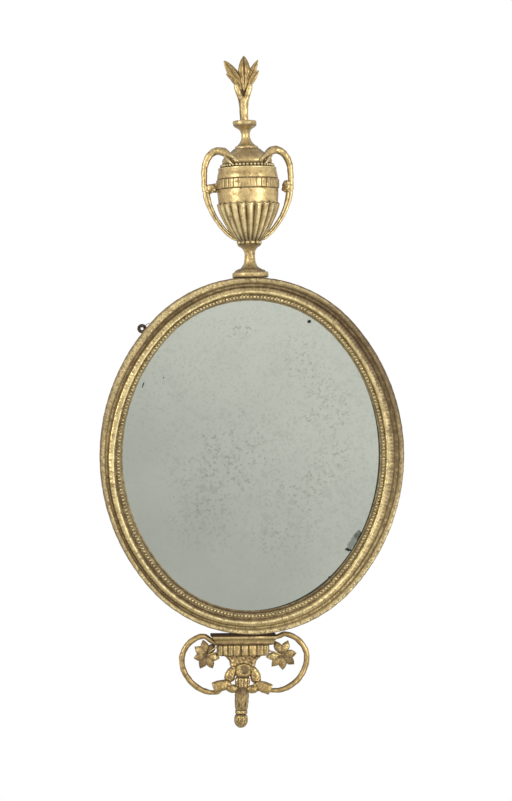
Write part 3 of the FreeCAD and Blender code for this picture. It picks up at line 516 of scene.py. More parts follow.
class Shell:
    """Closed surfaces gathered in millimetres and made into one object."""

    def __init__(self) -> None:
        """Start with nothing."""
        self.points: list[Array] = []
        self.faces: list[tuple[int, ...]] = []
        self.count = 0

    def add(self, points: Array, faces: Iterable[Sequence[int]]) -> None:
        """Add points and the faces between them."""
        self.faces += [tuple(index + self.count for index in face) for face in faces]
        self.points.append(points)
        self.count += len(points)

    def rings(self, rings: Array, ends: bool = True) -> None:
        """Add a skin through closed rings of points.

        Args:
            rings: array of ring, point and coordinate.
            ends: whether the first and last ring are closed by a fan, or joined to each other.
        """
        rows, columns = rings.shape[:2]
        faces = []
        for row in range(rows - 1 if ends else rows):
            low = row * columns
            high = (row + 1) % rows * columns
            for column in range(columns):
                following = (column + 1) % columns
                faces.append((low + column, low + following, high + following, high + column))
        points = rings.reshape(-1, 3)
        if ends:
            points = np.vstack([points, rings[0].mean(axis=0), rings[-1].mean(axis=0)])
            first, last = rows * columns, rows * columns + 1
            top = (rows - 1) * columns
            for column in range(columns):
                following = (column + 1) % columns
                faces.append((first, following, column))
                faces.append((last, top + column, top + following))
        self.add(points, faces)

    def turned(self, outline: Array, around: int, axis: tuple[float, float],
               relief: Callable[[Array, Array, Array], Array] | None = None) -> None:
        """Add a turned form about an upright axis, cut flat on the back plane.

        Args:
            outline: radius and height pairs from the bottom up.
            around: how many points each ring has.
            axis: the axis's place across and its depth.
            relief: gives radii from the angle, height and plain radius of each point.
        """
        angle = np.linspace(0, 2 * math.pi, around, endpoint=False)[None, :]
        radius = np.repeat(outline[:, :1], around, axis=1)
        height = np.repeat(outline[:, 1:2], around, axis=1)
        if relief:
            radius = relief(angle + 0 * radius, height, radius)
        depth = np.maximum(axis[1] + radius * np.cos(angle), 0.0)
        self.rings(np.stack([axis[0] + radius * np.sin(angle), -depth, height], axis=-1))

    def rod(self, stations: Array, section: Array, depth: float | Array) -> None:
        """Add a rod along a path that runs in the picture plane and may come forward.

        Args:
            stations: rows of x, z and half width along the middle line.
            section: rows of side and depth shares of the half width.
            depth: depth of the middle line, one value or one per station.
        """
        middle = np.broadcast_to(np.asarray(depth, float), len(stations))
        line = np.stack([stations[:, 0], -middle, stations[:, 1]], axis=1)
        along = np.gradient(line, axis=0)
        along /= np.linalg.norm(along, axis=1)[:, None]
        side = np.stack([-along[:, 2], 0 * middle, along[:, 0]], axis=1)
        side /= np.linalg.norm(side, axis=1)[:, None]
        front = np.cross(along, side)
        half = stations[:, 2][:, None, None]
        offset = section[None, :, :1] * side[:, None] + section[None, :, 1:] * front[:, None]
        self.rings(line[:, None] + half * offset)

    def ball(self, centre: Sequence[float], radii: Sequence[float], around: int = 12, rows: int = 8,
             turned: float = 0.0) -> None:
        """Add a ball or egg with its poles on the depth axis.

        Args:
            centre: its x, y and z.
            radii: its half sizes before it is turned.
            around: how many points each ring has.
            rows: how many rings it has.
            turned: how far it is turned in the picture plane, in radians.
        """
        pole_gap = 0.12
        tilt = np.linspace(pole_gap, math.pi - pole_gap, rows)[:, None]
        turn = np.linspace(0, 2 * math.pi, around, endpoint=False)[None, :]
        x, z = radii[0] * np.sin(tilt) * np.cos(turn), radii[2] * np.sin(tilt) * np.sin(turn)
        y = -radii[1] * np.cos(tilt) + 0 * turn
        cos, sin = math.cos(turned), math.sin(turned)
        self.rings(np.stack([x * cos - z * sin, y, x * sin + z * cos], axis=-1) + np.asarray(centre, float))

    def lean(self, low: float, high: float, shift: float) -> None:
        """Lean what stands above a height to one side, by a shift reached at the upper height."""
        furthest = 1.2
        for points in self.points:
            points[:, 0] += shift * np.clip((points[:, 2] - low) / (high - low), 0, furthest)

    def made(self, name: str, place: Matrix | None = None, subdivide: int = 0, uneven: float = 0.0,
             uneven_size: float = 30.0, relief: float = 1.6, flank: float = 0.55,
             traits: dict[str, Callable[[Array], Array]] | None = None) -> Object:
        """Make the object, outward facing and smooth.

        Args:
            name: name of the piece.
            place: how the piece is moved after it is drawn, in millimetres.
            subdivide: how many times it is smoothed by subdivision.
            uneven: how far hand work moves its surface in millimetres.
            uneven_size: size of that unevenness in millimetres.
            relief: how strongly its hollows are darkened, by dirt and painted shade.
            flank: how much dirt and painted shade its sides get, where they turn away from the front.
            traits: name of a trait and what gives it, 0 to 1, at points as they were drawn.

        Returns:
            The object, in metres.
        """
        mesh = bpy.data.meshes.new(name)
        mesh.from_pydata(np.vstack(self.points).tolist(), [], self.faces)
        piece = add_object(name, mesh)
        face_outward(mesh)
        if subdivide:
            smoother = piece.modifiers.new("smooth", "SUBSURF")
            smoother.levels = smoother.render_levels = subdivide
            graph = bpy.context.evaluated_depsgraph_get()
            final = bpy.data.meshes.new_from_object(piece.evaluated_get(graph))
            piece.modifiers.clear()
            piece.data = final
            bpy.data.meshes.remove(mesh)
            mesh = final
            mesh.name = name
        if uneven:
            roughened(mesh, uneven, uneven_size)
        drawn = points_of(mesh)
        mesh.transform(Matrix.Scale(MM, 4) @ (place or Matrix()))
        mesh.shade_smooth()
        mesh.set_sharp_from_angle(angle=math.radians(SHARP_ANGLE))
        mark_relief(mesh, relief, flank)
        for trait, values in (traits or {}).items():
            add_trait(mesh, trait, values(drawn))
        return piece


def face_outward(mesh: Mesh) -> None:
    """Turn every closed surface of a mesh so that its faces look outward."""
    work = bmesh.new()
    work.from_mesh(mesh)
    bmesh.ops.recalc_face_normals(work, faces=work.faces)
    work.to_mesh(mesh)
    work.free()


def points_of(mesh: Mesh, what: str = "co") -> Array:
    """Places or normals of a mesh's points as rows."""
    values = np.zeros(len(mesh.vertices) * 3)
    if what == "co":
        mesh.vertices.foreach_get("co", values)
    else:
        mesh.vertex_normals.foreach_get("vector", values)
    return values.reshape(-1, 3)


def roughened(mesh: Mesh, amount: float, size: float) -> None:
    """Move a mesh's front a little along its normals, as hand work leaves it.

    The mesh is still in millimetres, and its back plane stays flat.
    """
    places = points_of(mesh)
    forward = ramp(places[:, 1], 0.0, -2.0)
    moved = places + points_of(mesh, "normal") * (wobble(places, size) * amount * forward)[:, None]
    mesh.vertices.foreach_set("co", moved.ravel())
    mesh.update()


def mark_relief(mesh: Mesh, relief: float, flank: float) -> None:
    """Write on every point how hollow or how sharp the surface is there, for dirt with painted shade and for
    painted highlights.

    Args:
        mesh: mesh in metres.
        relief: how strongly a hollow counts.
        flank: dirt and painted shade on the sides, where they turn away from the front.
    """
    places, normals = points_of(mesh) / MM, points_of(mesh, "normal")
    ends = np.zeros(len(mesh.edges) * 2, np.int64)
    mesh.edges.foreach_get("vertices", ends)
    first, second = ends.reshape(-1, 2).T
    count = len(places)
    step = places[second] - places[first]
    square = np.maximum((step ** 2).sum(axis=1), 0.01)
    degree = np.maximum(np.bincount(first, minlength=count) + np.bincount(second, minlength=count), 1)
    bend = np.bincount(first, 2 * (step * normals[first]).sum(axis=1) / square, count)
    bend -= np.bincount(second, 2 * (step * normals[second]).sum(axis=1) / square, count)
    bend = np.clip(bend / degree * FULL_HOLLOW, -1, 1)
    for _ in range(SMOOTHING_PASSES):
        around = np.bincount(first, bend[second], count) + np.bincount(second, bend[first], count)
        bend = 0.4 * bend + 0.6 * around / degree
    # Hollows and sides turned from the front get dirt and painted shade; convex places get painted highlight.
    aside = ramp(normals[:, 1], -0.62, 0.5)
    hollow = np.clip(bend * relief, 0, 1) + flank * aside
    for name, values in (("hollow", hollow), ("crest", -1.3 * bend - 0.6), ("chips", 0 * bend)):
        trait = mesh.attributes.new(name, "FLOAT", "POINT")
        trait.data.foreach_set("value", np.clip(values, 0, 1).astype(np.float32))


def add_trait(mesh: Mesh, name: str, values: Array) -> None:
    """Raise a trait of the mesh's points to at least these values."""
    trait = mesh.attributes[name]
    known = np.zeros(len(mesh.vertices), np.float32)
    trait.data.foreach_get("value", known)
    trait.data.foreach_set("value", np.maximum(known, values).clip(0, 1).astype(np.float32))


def settle(piece: Object, material: Material, nodes: Sequence[str], back: Material | None = None,
           body: str = FRAME_BODY) -> None:
    """Dress a piece, set it on its body and let it stand for its nodes.

    Args:
        piece: the object, already in place.
        material: its finish.
        nodes: names of the nodes that it stands for.
        back: finish of the faces that lie on the back plane.
        body: the body that it moves with.
    """
    mesh = piece.data
    mesh.materials.clear()
    mesh.materials.append(material)
    if back:
        mesh.materials.append(back)
        for face in mesh.polygons:
            if face.normal.y > BACK_FACING and face.center.y > -BACK_DEPTH * MM:
                face.material_index = 1
    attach(piece, body)
    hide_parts(*nodes)
    LOG.info("%s: %d faces for %s", piece.name, len(mesh.polygons), ", ".join(nodes))


def circle(count: int, flat: float = 1.0, square: float = 1.0) -> Array:
    """Round section of side and depth shares.

    Args:
        count: how many points it has.
        flat: share by which its depth is flattened.
        square: power that fills its corners, 1 for a circle and less for a squarer one.

    Returns:
        Rows of side and depth shares.
    """
    turn = np.linspace(0, 2 * math.pi, count, endpoint=False)
    shares = np.stack([np.cos(turn), np.sin(turn)], axis=1)
    return np.sign(shares) * np.abs(shares) ** square * (1.0, flat)


# Frame


@dataclass
class OvalFrame:
    """Moulded oval frame with its ring of beads.

    An inset is measured from the outer edge toward the glass. Each table row of stray, dirt and painted shade
    has an angle in degrees, and then the six values that are given all round from it.
    """

    half_width: float = 304.0
    half_height: float = 355.5
    round_share: float = 0.631
    arc_step: float = 1.5
    knurl_count: int = 264
    knurl_depth: float = 0.3
    knurl_inset: float = 23.6
    bead_count: int = 264
    bead_across: float = 3.5
    bead_along: float = 2.7
    bead_inset: float = 38.4
    bead_seat: float = 25.025
    bead_rise: float = 0.6
    bead_variation: float = 0.04
    # Darkening of the groove, the rim and the ridge's inner side by angle in this table is dirt and painted
    # shade.
    stray_shade_dirt_table: tuple = ((0, -4.4, 4.2, 0.75, 10.4, 0.4, 0), (30, -3.5, 2.6, 1, 10.4, 0.8, 0),
                     (60, -2.8, 1.6, 0.95, 9.4, 0.35, 0), (90, -1.6, 1.2, 0.65, 6.4, 0.25, 0.1),
                     (118, 2, 4, 0.85, 4, 0.1, 0.05), (138, 3, 4.4, 1, 3.8, 0.15, 0.05),
                     (155, 0.8, 3.2, 0.7, 3.6, 0.25, 0.05), (170, -1.5, 1.4, 0.55, 3.6, 0.35, 0.2),
                     (185, -3.5, -4.2, 0.6, 4, 0.4, 0.65), (210, -5.5, -7.5, 0.75, 4.2, 0.3, 0.75),
                     (240, -5, -7.2, 0.6, 4.2, 0.1, 0.75), (270, -4.5, -6, 0, 4, 0.1, 0.4),
                     (300, -3.6, -2.6, 0, 4, 0.1, 0.15), (325, -2.5, 1.6, 0.35, 8.4, 0.1, 0),
                     (345, -3.8, 4.2, 0.65, 10.6, 0.15, 0), (360, -4.4, 4.2, 0.75, 10.4, 0.4, 0))
    stray_share: tuple = ((0, 0, 0), (9, 0.6, 0), (16.8, 1, 0), (28.6, 0, 1), (38.4, 0, 0.4), (46.2, 0, 0))
    side: tuple = ((4, 0), (0, 30.6))
    rim: tuple = ((0, 30.6), (0.9, 33.4), (3, 34.8), (6.6, 35), (10.2, 34.4), (12.6, 32.8), (13.4, 30.6))
    hollow: tuple = ((13.4, 30.6), (14, 27.2), (15.8, 25.2), (18, 24.9), (19.8, 26.3), (20.5, 28.6))
    ridge: tuple = ((20.5, 28.4), (21.9, 30.4), (25, 31.8), (28.6, 32.7), (31.2, 31.6), (33.2, 28.2),
                    (34.6, 25))
    seat: tuple = ((34.6, 25.025), (42, 25.025))
    slope: tuple = ((42, 25.025), (42.6, 22.8), (43.4, 19.4), (44.7, 16.6), (46.2, 15))
    rebates: tuple = ((46.2, 13.8), (40.5, 13.8), (40.5, 7), (30.6, 7), (30, 6), (30, 0))

    def arcs(self) -> list[tuple[float, float, float, float, float]]:
        """The four arcs of the oval.

        Returns:
            Centre x and z, radius, first angle and sweep of each, in radians.
        """
        stretch = self.half_height - self.half_width
        side_share = 1 / (2 * self.round_share)
        end_radius = self.half_width - self.round_share * stretch
        side_radius = self.half_height + side_share * stretch
        end_shift, side_shift = self.half_height - end_radius, side_radius - self.half_width
        joint = math.atan2(1 + self.round_share, 1 + side_share)
        return [(-side_shift, 0.0, side_radius, -joint, 2 * joint),
                (0.0, end_shift, end_radius, joint, math.pi - 2 * joint),
                (side_shift, 0.0, side_radius, math.pi - joint, 2 * joint),
                (0.0, -end_shift, end_radius, math.pi + joint, math.pi - 2 * joint)]

    def around(self) -> Array:
        """Rows of centre x, centre z, radius and angle all round the oval."""
        rows = []
        for x, z, radius, first, sweep in self.arcs():
            count = round(radius * sweep / self.arc_step)
            for index in range(count):
                rows.append((x, z, radius, first + sweep * index / count))
        return np.array(rows)

    def track(self, inset: float | Array) -> Array:
        """Points (x, z) all round at an inset from the outer edge."""
        x, z, radius, angle = self.around().T
        return np.stack([x + (radius - inset) * np.cos(angle), z + (radius - inset) * np.sin(angle)], axis=1)

    def aged(self) -> Array:
        """How the moulding strays and is darkened by dirt and painted shade, all round.

        Returns:
            Six rows: stray of the groove and of the ridge, dirt and painted shade in the groove, half its
                width,
            dirt and painted shade on the rim and on the inner side of the ridge.
        """
        known = through(self.stray_shade_dirt_table, 8)
        angle = np.degrees(self.around()[:, 3]) % 360
        return np.stack([np.interp(angle, known[:, 0], known[:, column]) for column in range(1, 7)])

    def strayed(self, inset: float) -> Array:
        """Where the part of the moulding that is drawn at an inset runs after it strayed, all round."""
        groove, ridge = self.aged()[:2]
        at, groove_share, ridge_share = zip(*self.stray_share)
        return inset + groove * np.interp(inset, at, groove_share) + ridge * np.interp(inset, at, ridge_share)

    def moulding(self, palette: Palette) -> None:
        """Carve the whole moulding as one gilded length without an end."""
        runs = [through(run, 4) for run in (self.rim, self.hollow, self.ridge, self.slope)]
        section = joined(np.array(self.side), runs[0], runs[1], runs[2], np.array(self.seat), runs[3],
                         np.array(self.rebates))
        angle = 2 * math.pi * self.knurl_count * np.linspace(0, 1, len(self.around()), endpoint=False)
        rings = np.zeros((len(self.around()), len(section), 3))
        for index, (inset, depth) in enumerate(section):
            track = self.track(self.strayed(inset) if depth > 14 else inset)
            knurl = self.knurl_depth * hump(inset, self.knurl_inset, 2.2) * (depth > 26)
            rings[:, index, 0], rings[:, index, 2] = track.T
            rings[:, index, 1] = -depth + knurl * (0.5 - 0.5 * np.cos(angle))
        shell = Shell()
        shell.rings(rings, ends=False)
        piece = shell.made("frame_moulding", uneven=0.3, uneven_size=22.0, relief=0.5, flank=0.0)
        inset = np.tile(section[:, 0], len(rings))
        depth = np.tile(section[:, 1], len(rings))
        gap = np.repeat(0.5 - 0.5 * np.cos(angle), len(section))
        groove_shade_and_dirt, half, rim, inner = [np.repeat(row, len(section)) for row in self.aged()[2:]]
        rim_end, seat_start, seat_end = self.rim[-1][0], self.seat[0][0], self.seat[-1][0]
        # Dirt and painted shade in the groove, on the rim, beside the ridge and the seat, on the inner slope,
        # at the outer edge and between the knurls.
        groove = np.maximum(0.85 * groove_shade_and_dirt * hump(inset, 16.4, half, 4), rim * (inset < rim_end))
        groove += 0.75 * inner * hump(inset, 32.8, 2.6, 4)
        groove += 0.35 * hump(inset, seat_start, 1.2) + 0.55 * hump(inset, seat_end, 1.5)
        groove += 0.4 * (inset > 42.5) + (0.3 + 0.5 * rim) * hump(inset, 0, 2.6 + 3.4 * rim, 4)
        groove += 0.25 * gap * hump(inset, self.knurl_inset, 2.6)
        # Painted highlights: on the ridge, brighter on the left than on the right, on the clean rim, on the
        # knurls, and in the groove where it is clean.
        facing = np.repeat(0.65 - 0.3 * np.cos(self.around()[:, 3]), len(section))
        crest = facing * hump(inset, 28.8, 1.8)
        crest += 0.6 * (1 - rim) * hump(inset, 5.6, 2.6)
        crest += 0.25 * (1 - gap) * hump(inset, self.knurl_inset, 2.2)
        crest += 1.3 * (1 - groove_shade_and_dirt) ** 2 * hump(inset, 16.0, 4.6)
        add_trait(piece.data, "hollow", groove * (depth > 12))
        add_trait(piece.data, "crest", crest * (depth > 24))
        chips = np.where((inset < 13.5) & (depth > 8), 0.4 + 0.5 * (1 - groove_shade_and_dirt) * (inset < 8), 0.15)
        add_trait(piece.data, "chips", chips)
        settle(piece, palette.frame_gilding, ["frame_top", "frame_right", "frame_bottom", "frame_left"],
               palette.carved_back)

    def beads(self, palette: Palette) -> None:
        """Set the ring of beads along its seat at an even pitch, each longer across than along."""
        track = self.track(self.strayed(self.bead_inset))
        closed = np.vstack([track, track[:1]])
        travelled = np.concatenate([[0], np.cumsum(np.linalg.norm(np.diff(closed, axis=0), axis=1))])
        stops = np.linspace(0, travelled[-1], self.bead_count, endpoint=False)
        places = np.stack([np.interp(stops, travelled, closed[:, axis]) for axis in (0, 1)], axis=1)
        shell = Shell()
        for index, ((x, z), following) in enumerate(zip(places, np.roll(places, -1, axis=0))):
            heading = math.atan2(following[1] - z, following[0] - x)
            size = 1 + self.bead_variation * math.sin(index * 2.4)
            radii = (self.bead_along * size, self.bead_along, self.bead_across * size)
            shell.ball((x, -self.bead_seat - self.bead_rise, z), radii, turned=heading)
        piece = shell.made("bead_ring", flank=0.3)
        rise = (-points_of(piece.data)[:, 1] / MM - self.bead_seat) / self.bead_along
        # Dirt and painted shade, darkest low on the beads where they sit.
        add_trait(piece.data, "hollow", np.clip(1.0 - 0.9 * rise, 0.2, 0.7))
        settle(piece, palette.frame_gilding, ["bead_string"])

    def build(self, palette: Palette) -> None:
        """Build the moulding and its beads."""
        self.moulding(palette)
        self.beads(palette)


# Crest


@dataclass
class Urn:
    """Gadrooned urn with its foot, lid and bead rings, turned about one leaning axis.

    Outlines are rows of radius and height above the foot. A bead has its half width and half height.
    """

    foot_x: float = -2.5
    foot_z: float = 355.5
    lean: float = 1.64
    axis_depth: float = 8.0
    plinth_across: float = 71.0
    plinth: tuple = ((0.95, -0.5), (0.985, 0.4), (1, 2.2), (1, 7.6), (0.985, 9), (0.94, 10.5), (0.86, 11))
    stem: tuple = ((30, 9.6), (30.6, 12.4), (28.6, 14.6), (21, 17.6), (16.4, 21.6), (13, 27), (11.2, 34),
                   (10.4, 42), (10.8, 49), (12.6, 55), (17, 60), (22.5, 63.6), (24, 65))
    collar_radius: float = 20.6
    collar_height: float = 69.8
    collar_beads: int = 13
    collar_bead: tuple = (4.9, 4.7)
    collar_core: tuple = ((19.5, 64.6), (20.4, 66), (20.8, 69), (20.4, 72), (19.5, 73.4))
    gadroons: int = 22
    gadroon_points: int = 14
    gadroon_depth: float = 0.13
    gadroon_scoop: float = 3.6
    gadroon_turn: float = -1.2
    gadroon_closing: float = 0.74
    bowl_rings: int = 48
    bowl: tuple = ((21.5, 71), (29.5, 78.6), (40.5, 94), (50.4, 112), (57.2, 126), (61.4, 138), (63.3, 147))
    bowl_top: float = 147.8
    drum_radius: float = 61.0
    flute_count: int = 34
    flute_depth: float = 1.5
    flute_points: int = 14
    flute_end: float = 0.9
    flute_share: float = 0.42
    band_low: float = 177.6
    band_high: float = 194.6
    shoulder_height: float = 222.6
    shoulder_radius: float = 51.6
    shoulder_beads: int = 44
    shoulder_bead: tuple = (3.2, 3.6)
    neck_low: float = 256.0
    dish_high: float = 312.0
    neck_lean: float = -2.9

    def place(self) -> Matrix:
        """How an upright crest piece is set on its foot and leaned."""
        return (Matrix.Translation((self.foot_x, 0, self.foot_z))
                @ Matrix.Rotation(math.radians(-self.lean), 4, "Y"))

    def axis(self) -> tuple[float, float]:
        """Place across and depth of the urn's axis before it leans."""
        return (0.0, self.axis_depth)

    def foot(self, palette: Palette) -> None:
        """Octagonal plinth under a turned stem."""
        shell = Shell()
        rings = []
        for share, height in self.plinth:
            reach = share * self.plinth_across / 2
            cut = reach * math.tan(math.pi / 8)
            corners = [(cut, reach), (reach, cut), (reach, -cut), (cut, -reach),
                       (-cut, -reach), (-reach, -cut), (-reach, cut), (-cut, reach)]
            ring = []
            for (x0, d0), (x1, d1) in zip(corners, corners[1:] + corners[:1]):
                for share_along in (0.04, 0.5, 0.96):
                    x, d = x0 + (x1 - x0) * share_along, d0 + (d1 - d0) * share_along
                    ring.append((x, -max(self.axis_depth + d, 0.0), height))
            rings.append(ring)
        shell.rings(np.array(rings))
        shell.turned(through(self.stem, 4), 64, self.axis())
        piece = shell.made("urn_foot_turned", self.place(), uneven=0.5, uneven_size=13.0,
                           traits={"hollow": self.foot_shading_and_dirt})
        settle(piece, palette.gilding, ["urn_foot"], palette.carved_back)

    def foot_shading_and_dirt(self, places: Array) -> Array:
        """Painted shade along the plinth's lower edge, where the stem stands on it and under the collar, over
        a little dirt all over.
        """
        height = places[:, 2]
        grime_and_shade = 0.9 * hump(height, 0.2, 1.7) + 0.6 * hump(height, 12.6, 1.8)
        return grime_and_shade + 0.5 * hump(height, 63.0, 3.5) + 0.15

    def bead_shading_and_dirt(self, places: Array) -> Array:
        """Dirt all over the beads, with painted shade at their seats."""
        reach = np.hypot(places[:, 0], -places[:, 1] - self.axis_depth)
        seat = np.where(places[:, 2] < 100, self.collar_radius, self.shoulder_radius)
        return np.clip(0.7 - 0.22 * (reach - seat), 0.2, 0.9)

    def bead_rings(self, palette: Palette) -> None:
        """Beads of the collar and of the shoulder, set round on their seats."""
        shell = Shell()
        rows = ((self.collar_beads, self.collar_radius, self.collar_height, *self.collar_bead),
                (self.shoulder_beads, self.shoulder_radius, self.shoulder_height, *self.shoulder_bead))
        for count, radius, height, width, rise in rows:
            for index in range(count):
                turn = 2 * math.pi * (index + 0.5) / count
                depth = self.axis_depth + radius * math.cos(turn)
                if depth > width:
                    shell.ball((radius * math.sin(turn), -depth, height), (width, width, rise))
        shell.turned(through(self.collar_core, 3), 48, self.axis())
        piece = shell.made("urn_beads", self.place(), flank=0.95, traits={"hollow": self.bead_shading_and_dirt})
        settle(piece, palette.gilding, ["urn_bead_rings"], palette.carved_back)

    def lip(self, across: Array) -> Array:
        """Height of the bowl's lip, scooped in every lobe and risen to a point between two."""
        return self.bowl_top - self.gadroon_scoop * (1 - np.abs(across) ** 1.7)

    def gadroon_rings(self) -> Array:
        """Rings of the bowl, lobed, with a valley between two lobes that opens out at the lip."""
        count = self.gadroon_points * self.gadroons
        across = np.tile(np.linspace(-1, 1, self.gadroon_points, endpoint=False), self.gadroons)
        turn = np.linspace(0, 2 * math.pi, count, endpoint=False) - math.pi / self.gadroons
        turn += math.radians(self.gadroon_turn)
        swell = np.sqrt(np.clip(1 - across ** 2, 0, 1))
        outline = through(self.bowl, 6)
        start = outline[0, 1]
        rings = []
        for share in np.linspace(0, 1, self.bowl_rings):
            height = start + share * (self.lip(across) - start)
            radius = np.interp(height, outline[:, 1], outline[:, 0])
            closing = 1 - self.gadroon_closing * ramp(share, 0.9, 0.1) ** 1.5
            depth = self.gadroon_depth * (0.5 + 0.5 * share) * closing
            rings.append((radius * (1 - depth * (1 - swell)), height))
        top_radius, top_height = rings[-1]
        for drop, inward in ((0.15, 0.8), (-0.5, 2.0), (-2.6, 3.4)):
            rings.append((top_radius - inward, top_height + drop))
        placed = []
        for radius, height in rings:
            depth = np.maximum(self.axis_depth + radius * np.cos(turn), 0.0)
            placed.append(np.stack([radius * np.sin(turn), -depth, height], axis=1))
        return np.array(placed)

    def in_flute(self, angle: Array) -> Array:
        """How far inside one of the band's narrow upright flutes an angle is, worn away at the front."""
        wave = np.abs(np.sin(angle * self.flute_count / 2))
        worn = ramp(np.abs(np.sin(angle) + 0.12), 0.1, 0.6)
        return np.clip(1 - wave / self.flute_share, 0, 1) * (0.22 + 0.78 * worn)

    def flutes(self, angle: Array, height: Array, radius: Array) -> Array:
        """Cut the upright flutes of the drum's band."""
        end = self.flute_end
        in_band = ramp(height, self.band_low, end) * ramp(height, self.band_high, -end)
        return radius - in_band * self.flute_depth * self.in_flute(angle)

    def across_lobe(self, places: Array) -> Array:
        """Where a point is across its lobe, from -1 in one valley to 1 in the next."""
        turn = turn_about(self.axis(), places) - math.radians(self.gadroon_turn)
        lobe = turn * self.gadroons / (2 * math.pi) + 0.5
        return 2 * (lobe % 1) - 1

    def body_crests(self, places: Array) -> Array:
        """Painted highlight along every lobe, a little off its middle, and on its lip."""
        height, across = places[:, 2], self.across_lobe(places)
        lip = self.lip(across)
        return (2.1 * hump(across, 0.2, 0.29) + 0.7 * hump(height, lip, 1.0)) * (height < lip + 0.1)

    def body_shading_and_dirt(self, places: Array) -> Array:
        """Dirt and painted shade in the valleys, a painted shadow line under the drum, and painted shade
        along the mouldings and in the flutes.
        """
        height, across = places[:, 2], self.across_lobe(places)
        lip = self.lip(across)
        valley = ramp(np.abs(across - 0.12), 0.3, 0.5) ** 1.2 * (height < lip - 1.0)
        # Painted shadow line on the drum just above the bowl's lip.
        line = 0.9 * hump(height, lip + 1.6, 1.5) * (height > lip + 0.1)
        low, high = self.band_low, self.band_high
        line += hump(height, low - 1.4, 1.0) + hump(height, high + 1.4, 1.0) + 0.6 * hump(height, 74.0, 9.0)
        cut = 0.9 * self.in_flute(turn_about(self.axis(), places)) + 0.2
        return 0.65 * valley + line + cut * (height > low) * (height < high)

    def body(self, palette: Palette) -> None:
        """Gadrooned bowl and the drum with its fluted band."""
        shell = Shell()
        shell.rings(self.gadroon_rings())
        r = self.drum_radius
        low, high = self.band_low, self.band_high
        drum = joined(
            through([(r - 7, 139.0), (r - 2.4, 141.0), (r - 1.8, 148.0), (r - 0.9, 158.0), (r, 168.0),
                     (r, low - 2.2)], 5),
            np.array([(r, low - 2.2), (r - 1.0, low - 1.4), (r + 0.9, low - 0.6), (r + 1.5, low)]),
            through([(r + 1.5, low), (r + 1.9, low + 2), (r + 1.9, high - 2), (r + 1.5, high)], 5),
            np.array([(r + 1.5, high), (r + 0.9, high + 0.6), (r - 1.0, high + 1.4), (r - 0.2, high + 2.2)]),
            through([(r - 0.2, high + 2.2), (r - 0.9, high + 9), (r - 2.4, high + 15), (r - 3.6, 215.9)], 4),
            np.array([(r - 9.0, 216.4)]))
        shell.turned(drum, self.flute_count * self.flute_points, self.axis(), self.flutes)
        piece = shell.made("urn_body_gadrooned", self.place(), uneven=0.22, uneven_size=34.0,
                           traits={"hollow": self.body_shading_and_dirt, "crest": self.body_crests})
        settle(piece, palette.gilding, ["urn_body"], palette.carved_back)

    def lid_shading_and_dirt(self, places: Array) -> Array:
        """Dirt and painted shade behind the beads and inside the dish, and painted shade over the dome."""
        height = places[:, 2]
        grime_and_shade = 0.9 * hump(height, 223.5, 4.5) + 0.5 * hump(height, 256.5, 1.6)
        grime_and_shade += 0.2 * (height > 228) * (height < 255.5) + 0.5 * hump(height, 303.0, 2.0)
        return grime_and_shade + 0.4 * hump(height, 291.0, 5.0) + 0.3 * (height > 301)

    def lid(self, palette: Palette) -> None:
        """Lip, bell dome, neck and dish."""
        outline = joined(
            np.array([(50.0, 215.4), (57.8, 215.6), (58.4, 216.6), (58.0, 218.4), (55.0, 218.9),
                      (47.4, 219.0)]),
            through([(47.4, 219.0), (47.6, 224.0), (49.8, 228.6)], 3),
            through([(49.8, 228.6), (49.8, 233.4), (47.0, 238.6), (41.5, 244.0), (33.6, 250.4),
                     (27.4, 256.0)], 5),
            np.array([(27.4, 256.0), (25.6, 257.0), (23.2, 257.4), (23.4, 260.4), (22.4, 261.6)]),
            through([(22.4, 261.6), (17.6, 264.4), (12.6, 269.6), (9.4, 276.4), (8.5, 282.0), (9.2, 289.0),
                     (12.4, 295.4), (19.6, 300.2), (23.0, 303.4)], 5),
            through([(23.0, 303.4), (23.6, 305.6), (23.7, 309.6), (22.9, 312.4), (21.0, 312.9)], 4),
            through([(21.0, 312.9), (15.0, 310.4), (8.0, 309.6)], 3))
        shell = Shell()
        shell.turned(outline, 96, self.axis())
        shell.lean(self.neck_low, self.dish_high, self.neck_lean)
        piece = shell.made("urn_lid_turned", self.place(), uneven=0.2, uneven_size=30.0,
                           traits={"hollow": self.lid_shading_and_dirt})
        settle(piece, palette.gilding, ["urn_lid"], palette.carved_back)

    def build(self, palette: Palette) -> None:
        """Build the urn from its foot to its dish."""
        self.foot(palette)
        self.bead_rings(palette)
        self.body(palette)
        self.lid(palette)


def leaf_section(rib: float, cup: float, dish: float, thick: float = 0.3) -> Array:
    """Section of a carved leaf as side and depth shares of its half width.

    Args:
        rib: how far the midrib stands over the halves, or lies below them when it is negative.
        cup: how far the halves stand over the edge.
        dish: how hollow the halves are, or how round when it is negative.
        thick: thickness behind the edge.

    Returns:
        Rows of side and depth shares.
    """
    front = [(1.0, 0.02), (0.9, cup * 0.55), (0.66, cup * (1 - 0.2 * dish)), (0.34, cup * (1 - 0.5 * dish)),
             (0.12, cup * (1 - 0.3 * dish) + rib * 0.45), (0.0, cup + rib)]
    left = [(-side, depth) for side, depth in reversed(front[:-1])]
    shares = ((-0.9, 0.4), (-0.5, 1.0), (0.0, 1.2), (0.5, 1.0), (0.9, 0.4))
    return np.array(front + left + [(side, -thick * share) for side, share in shares])


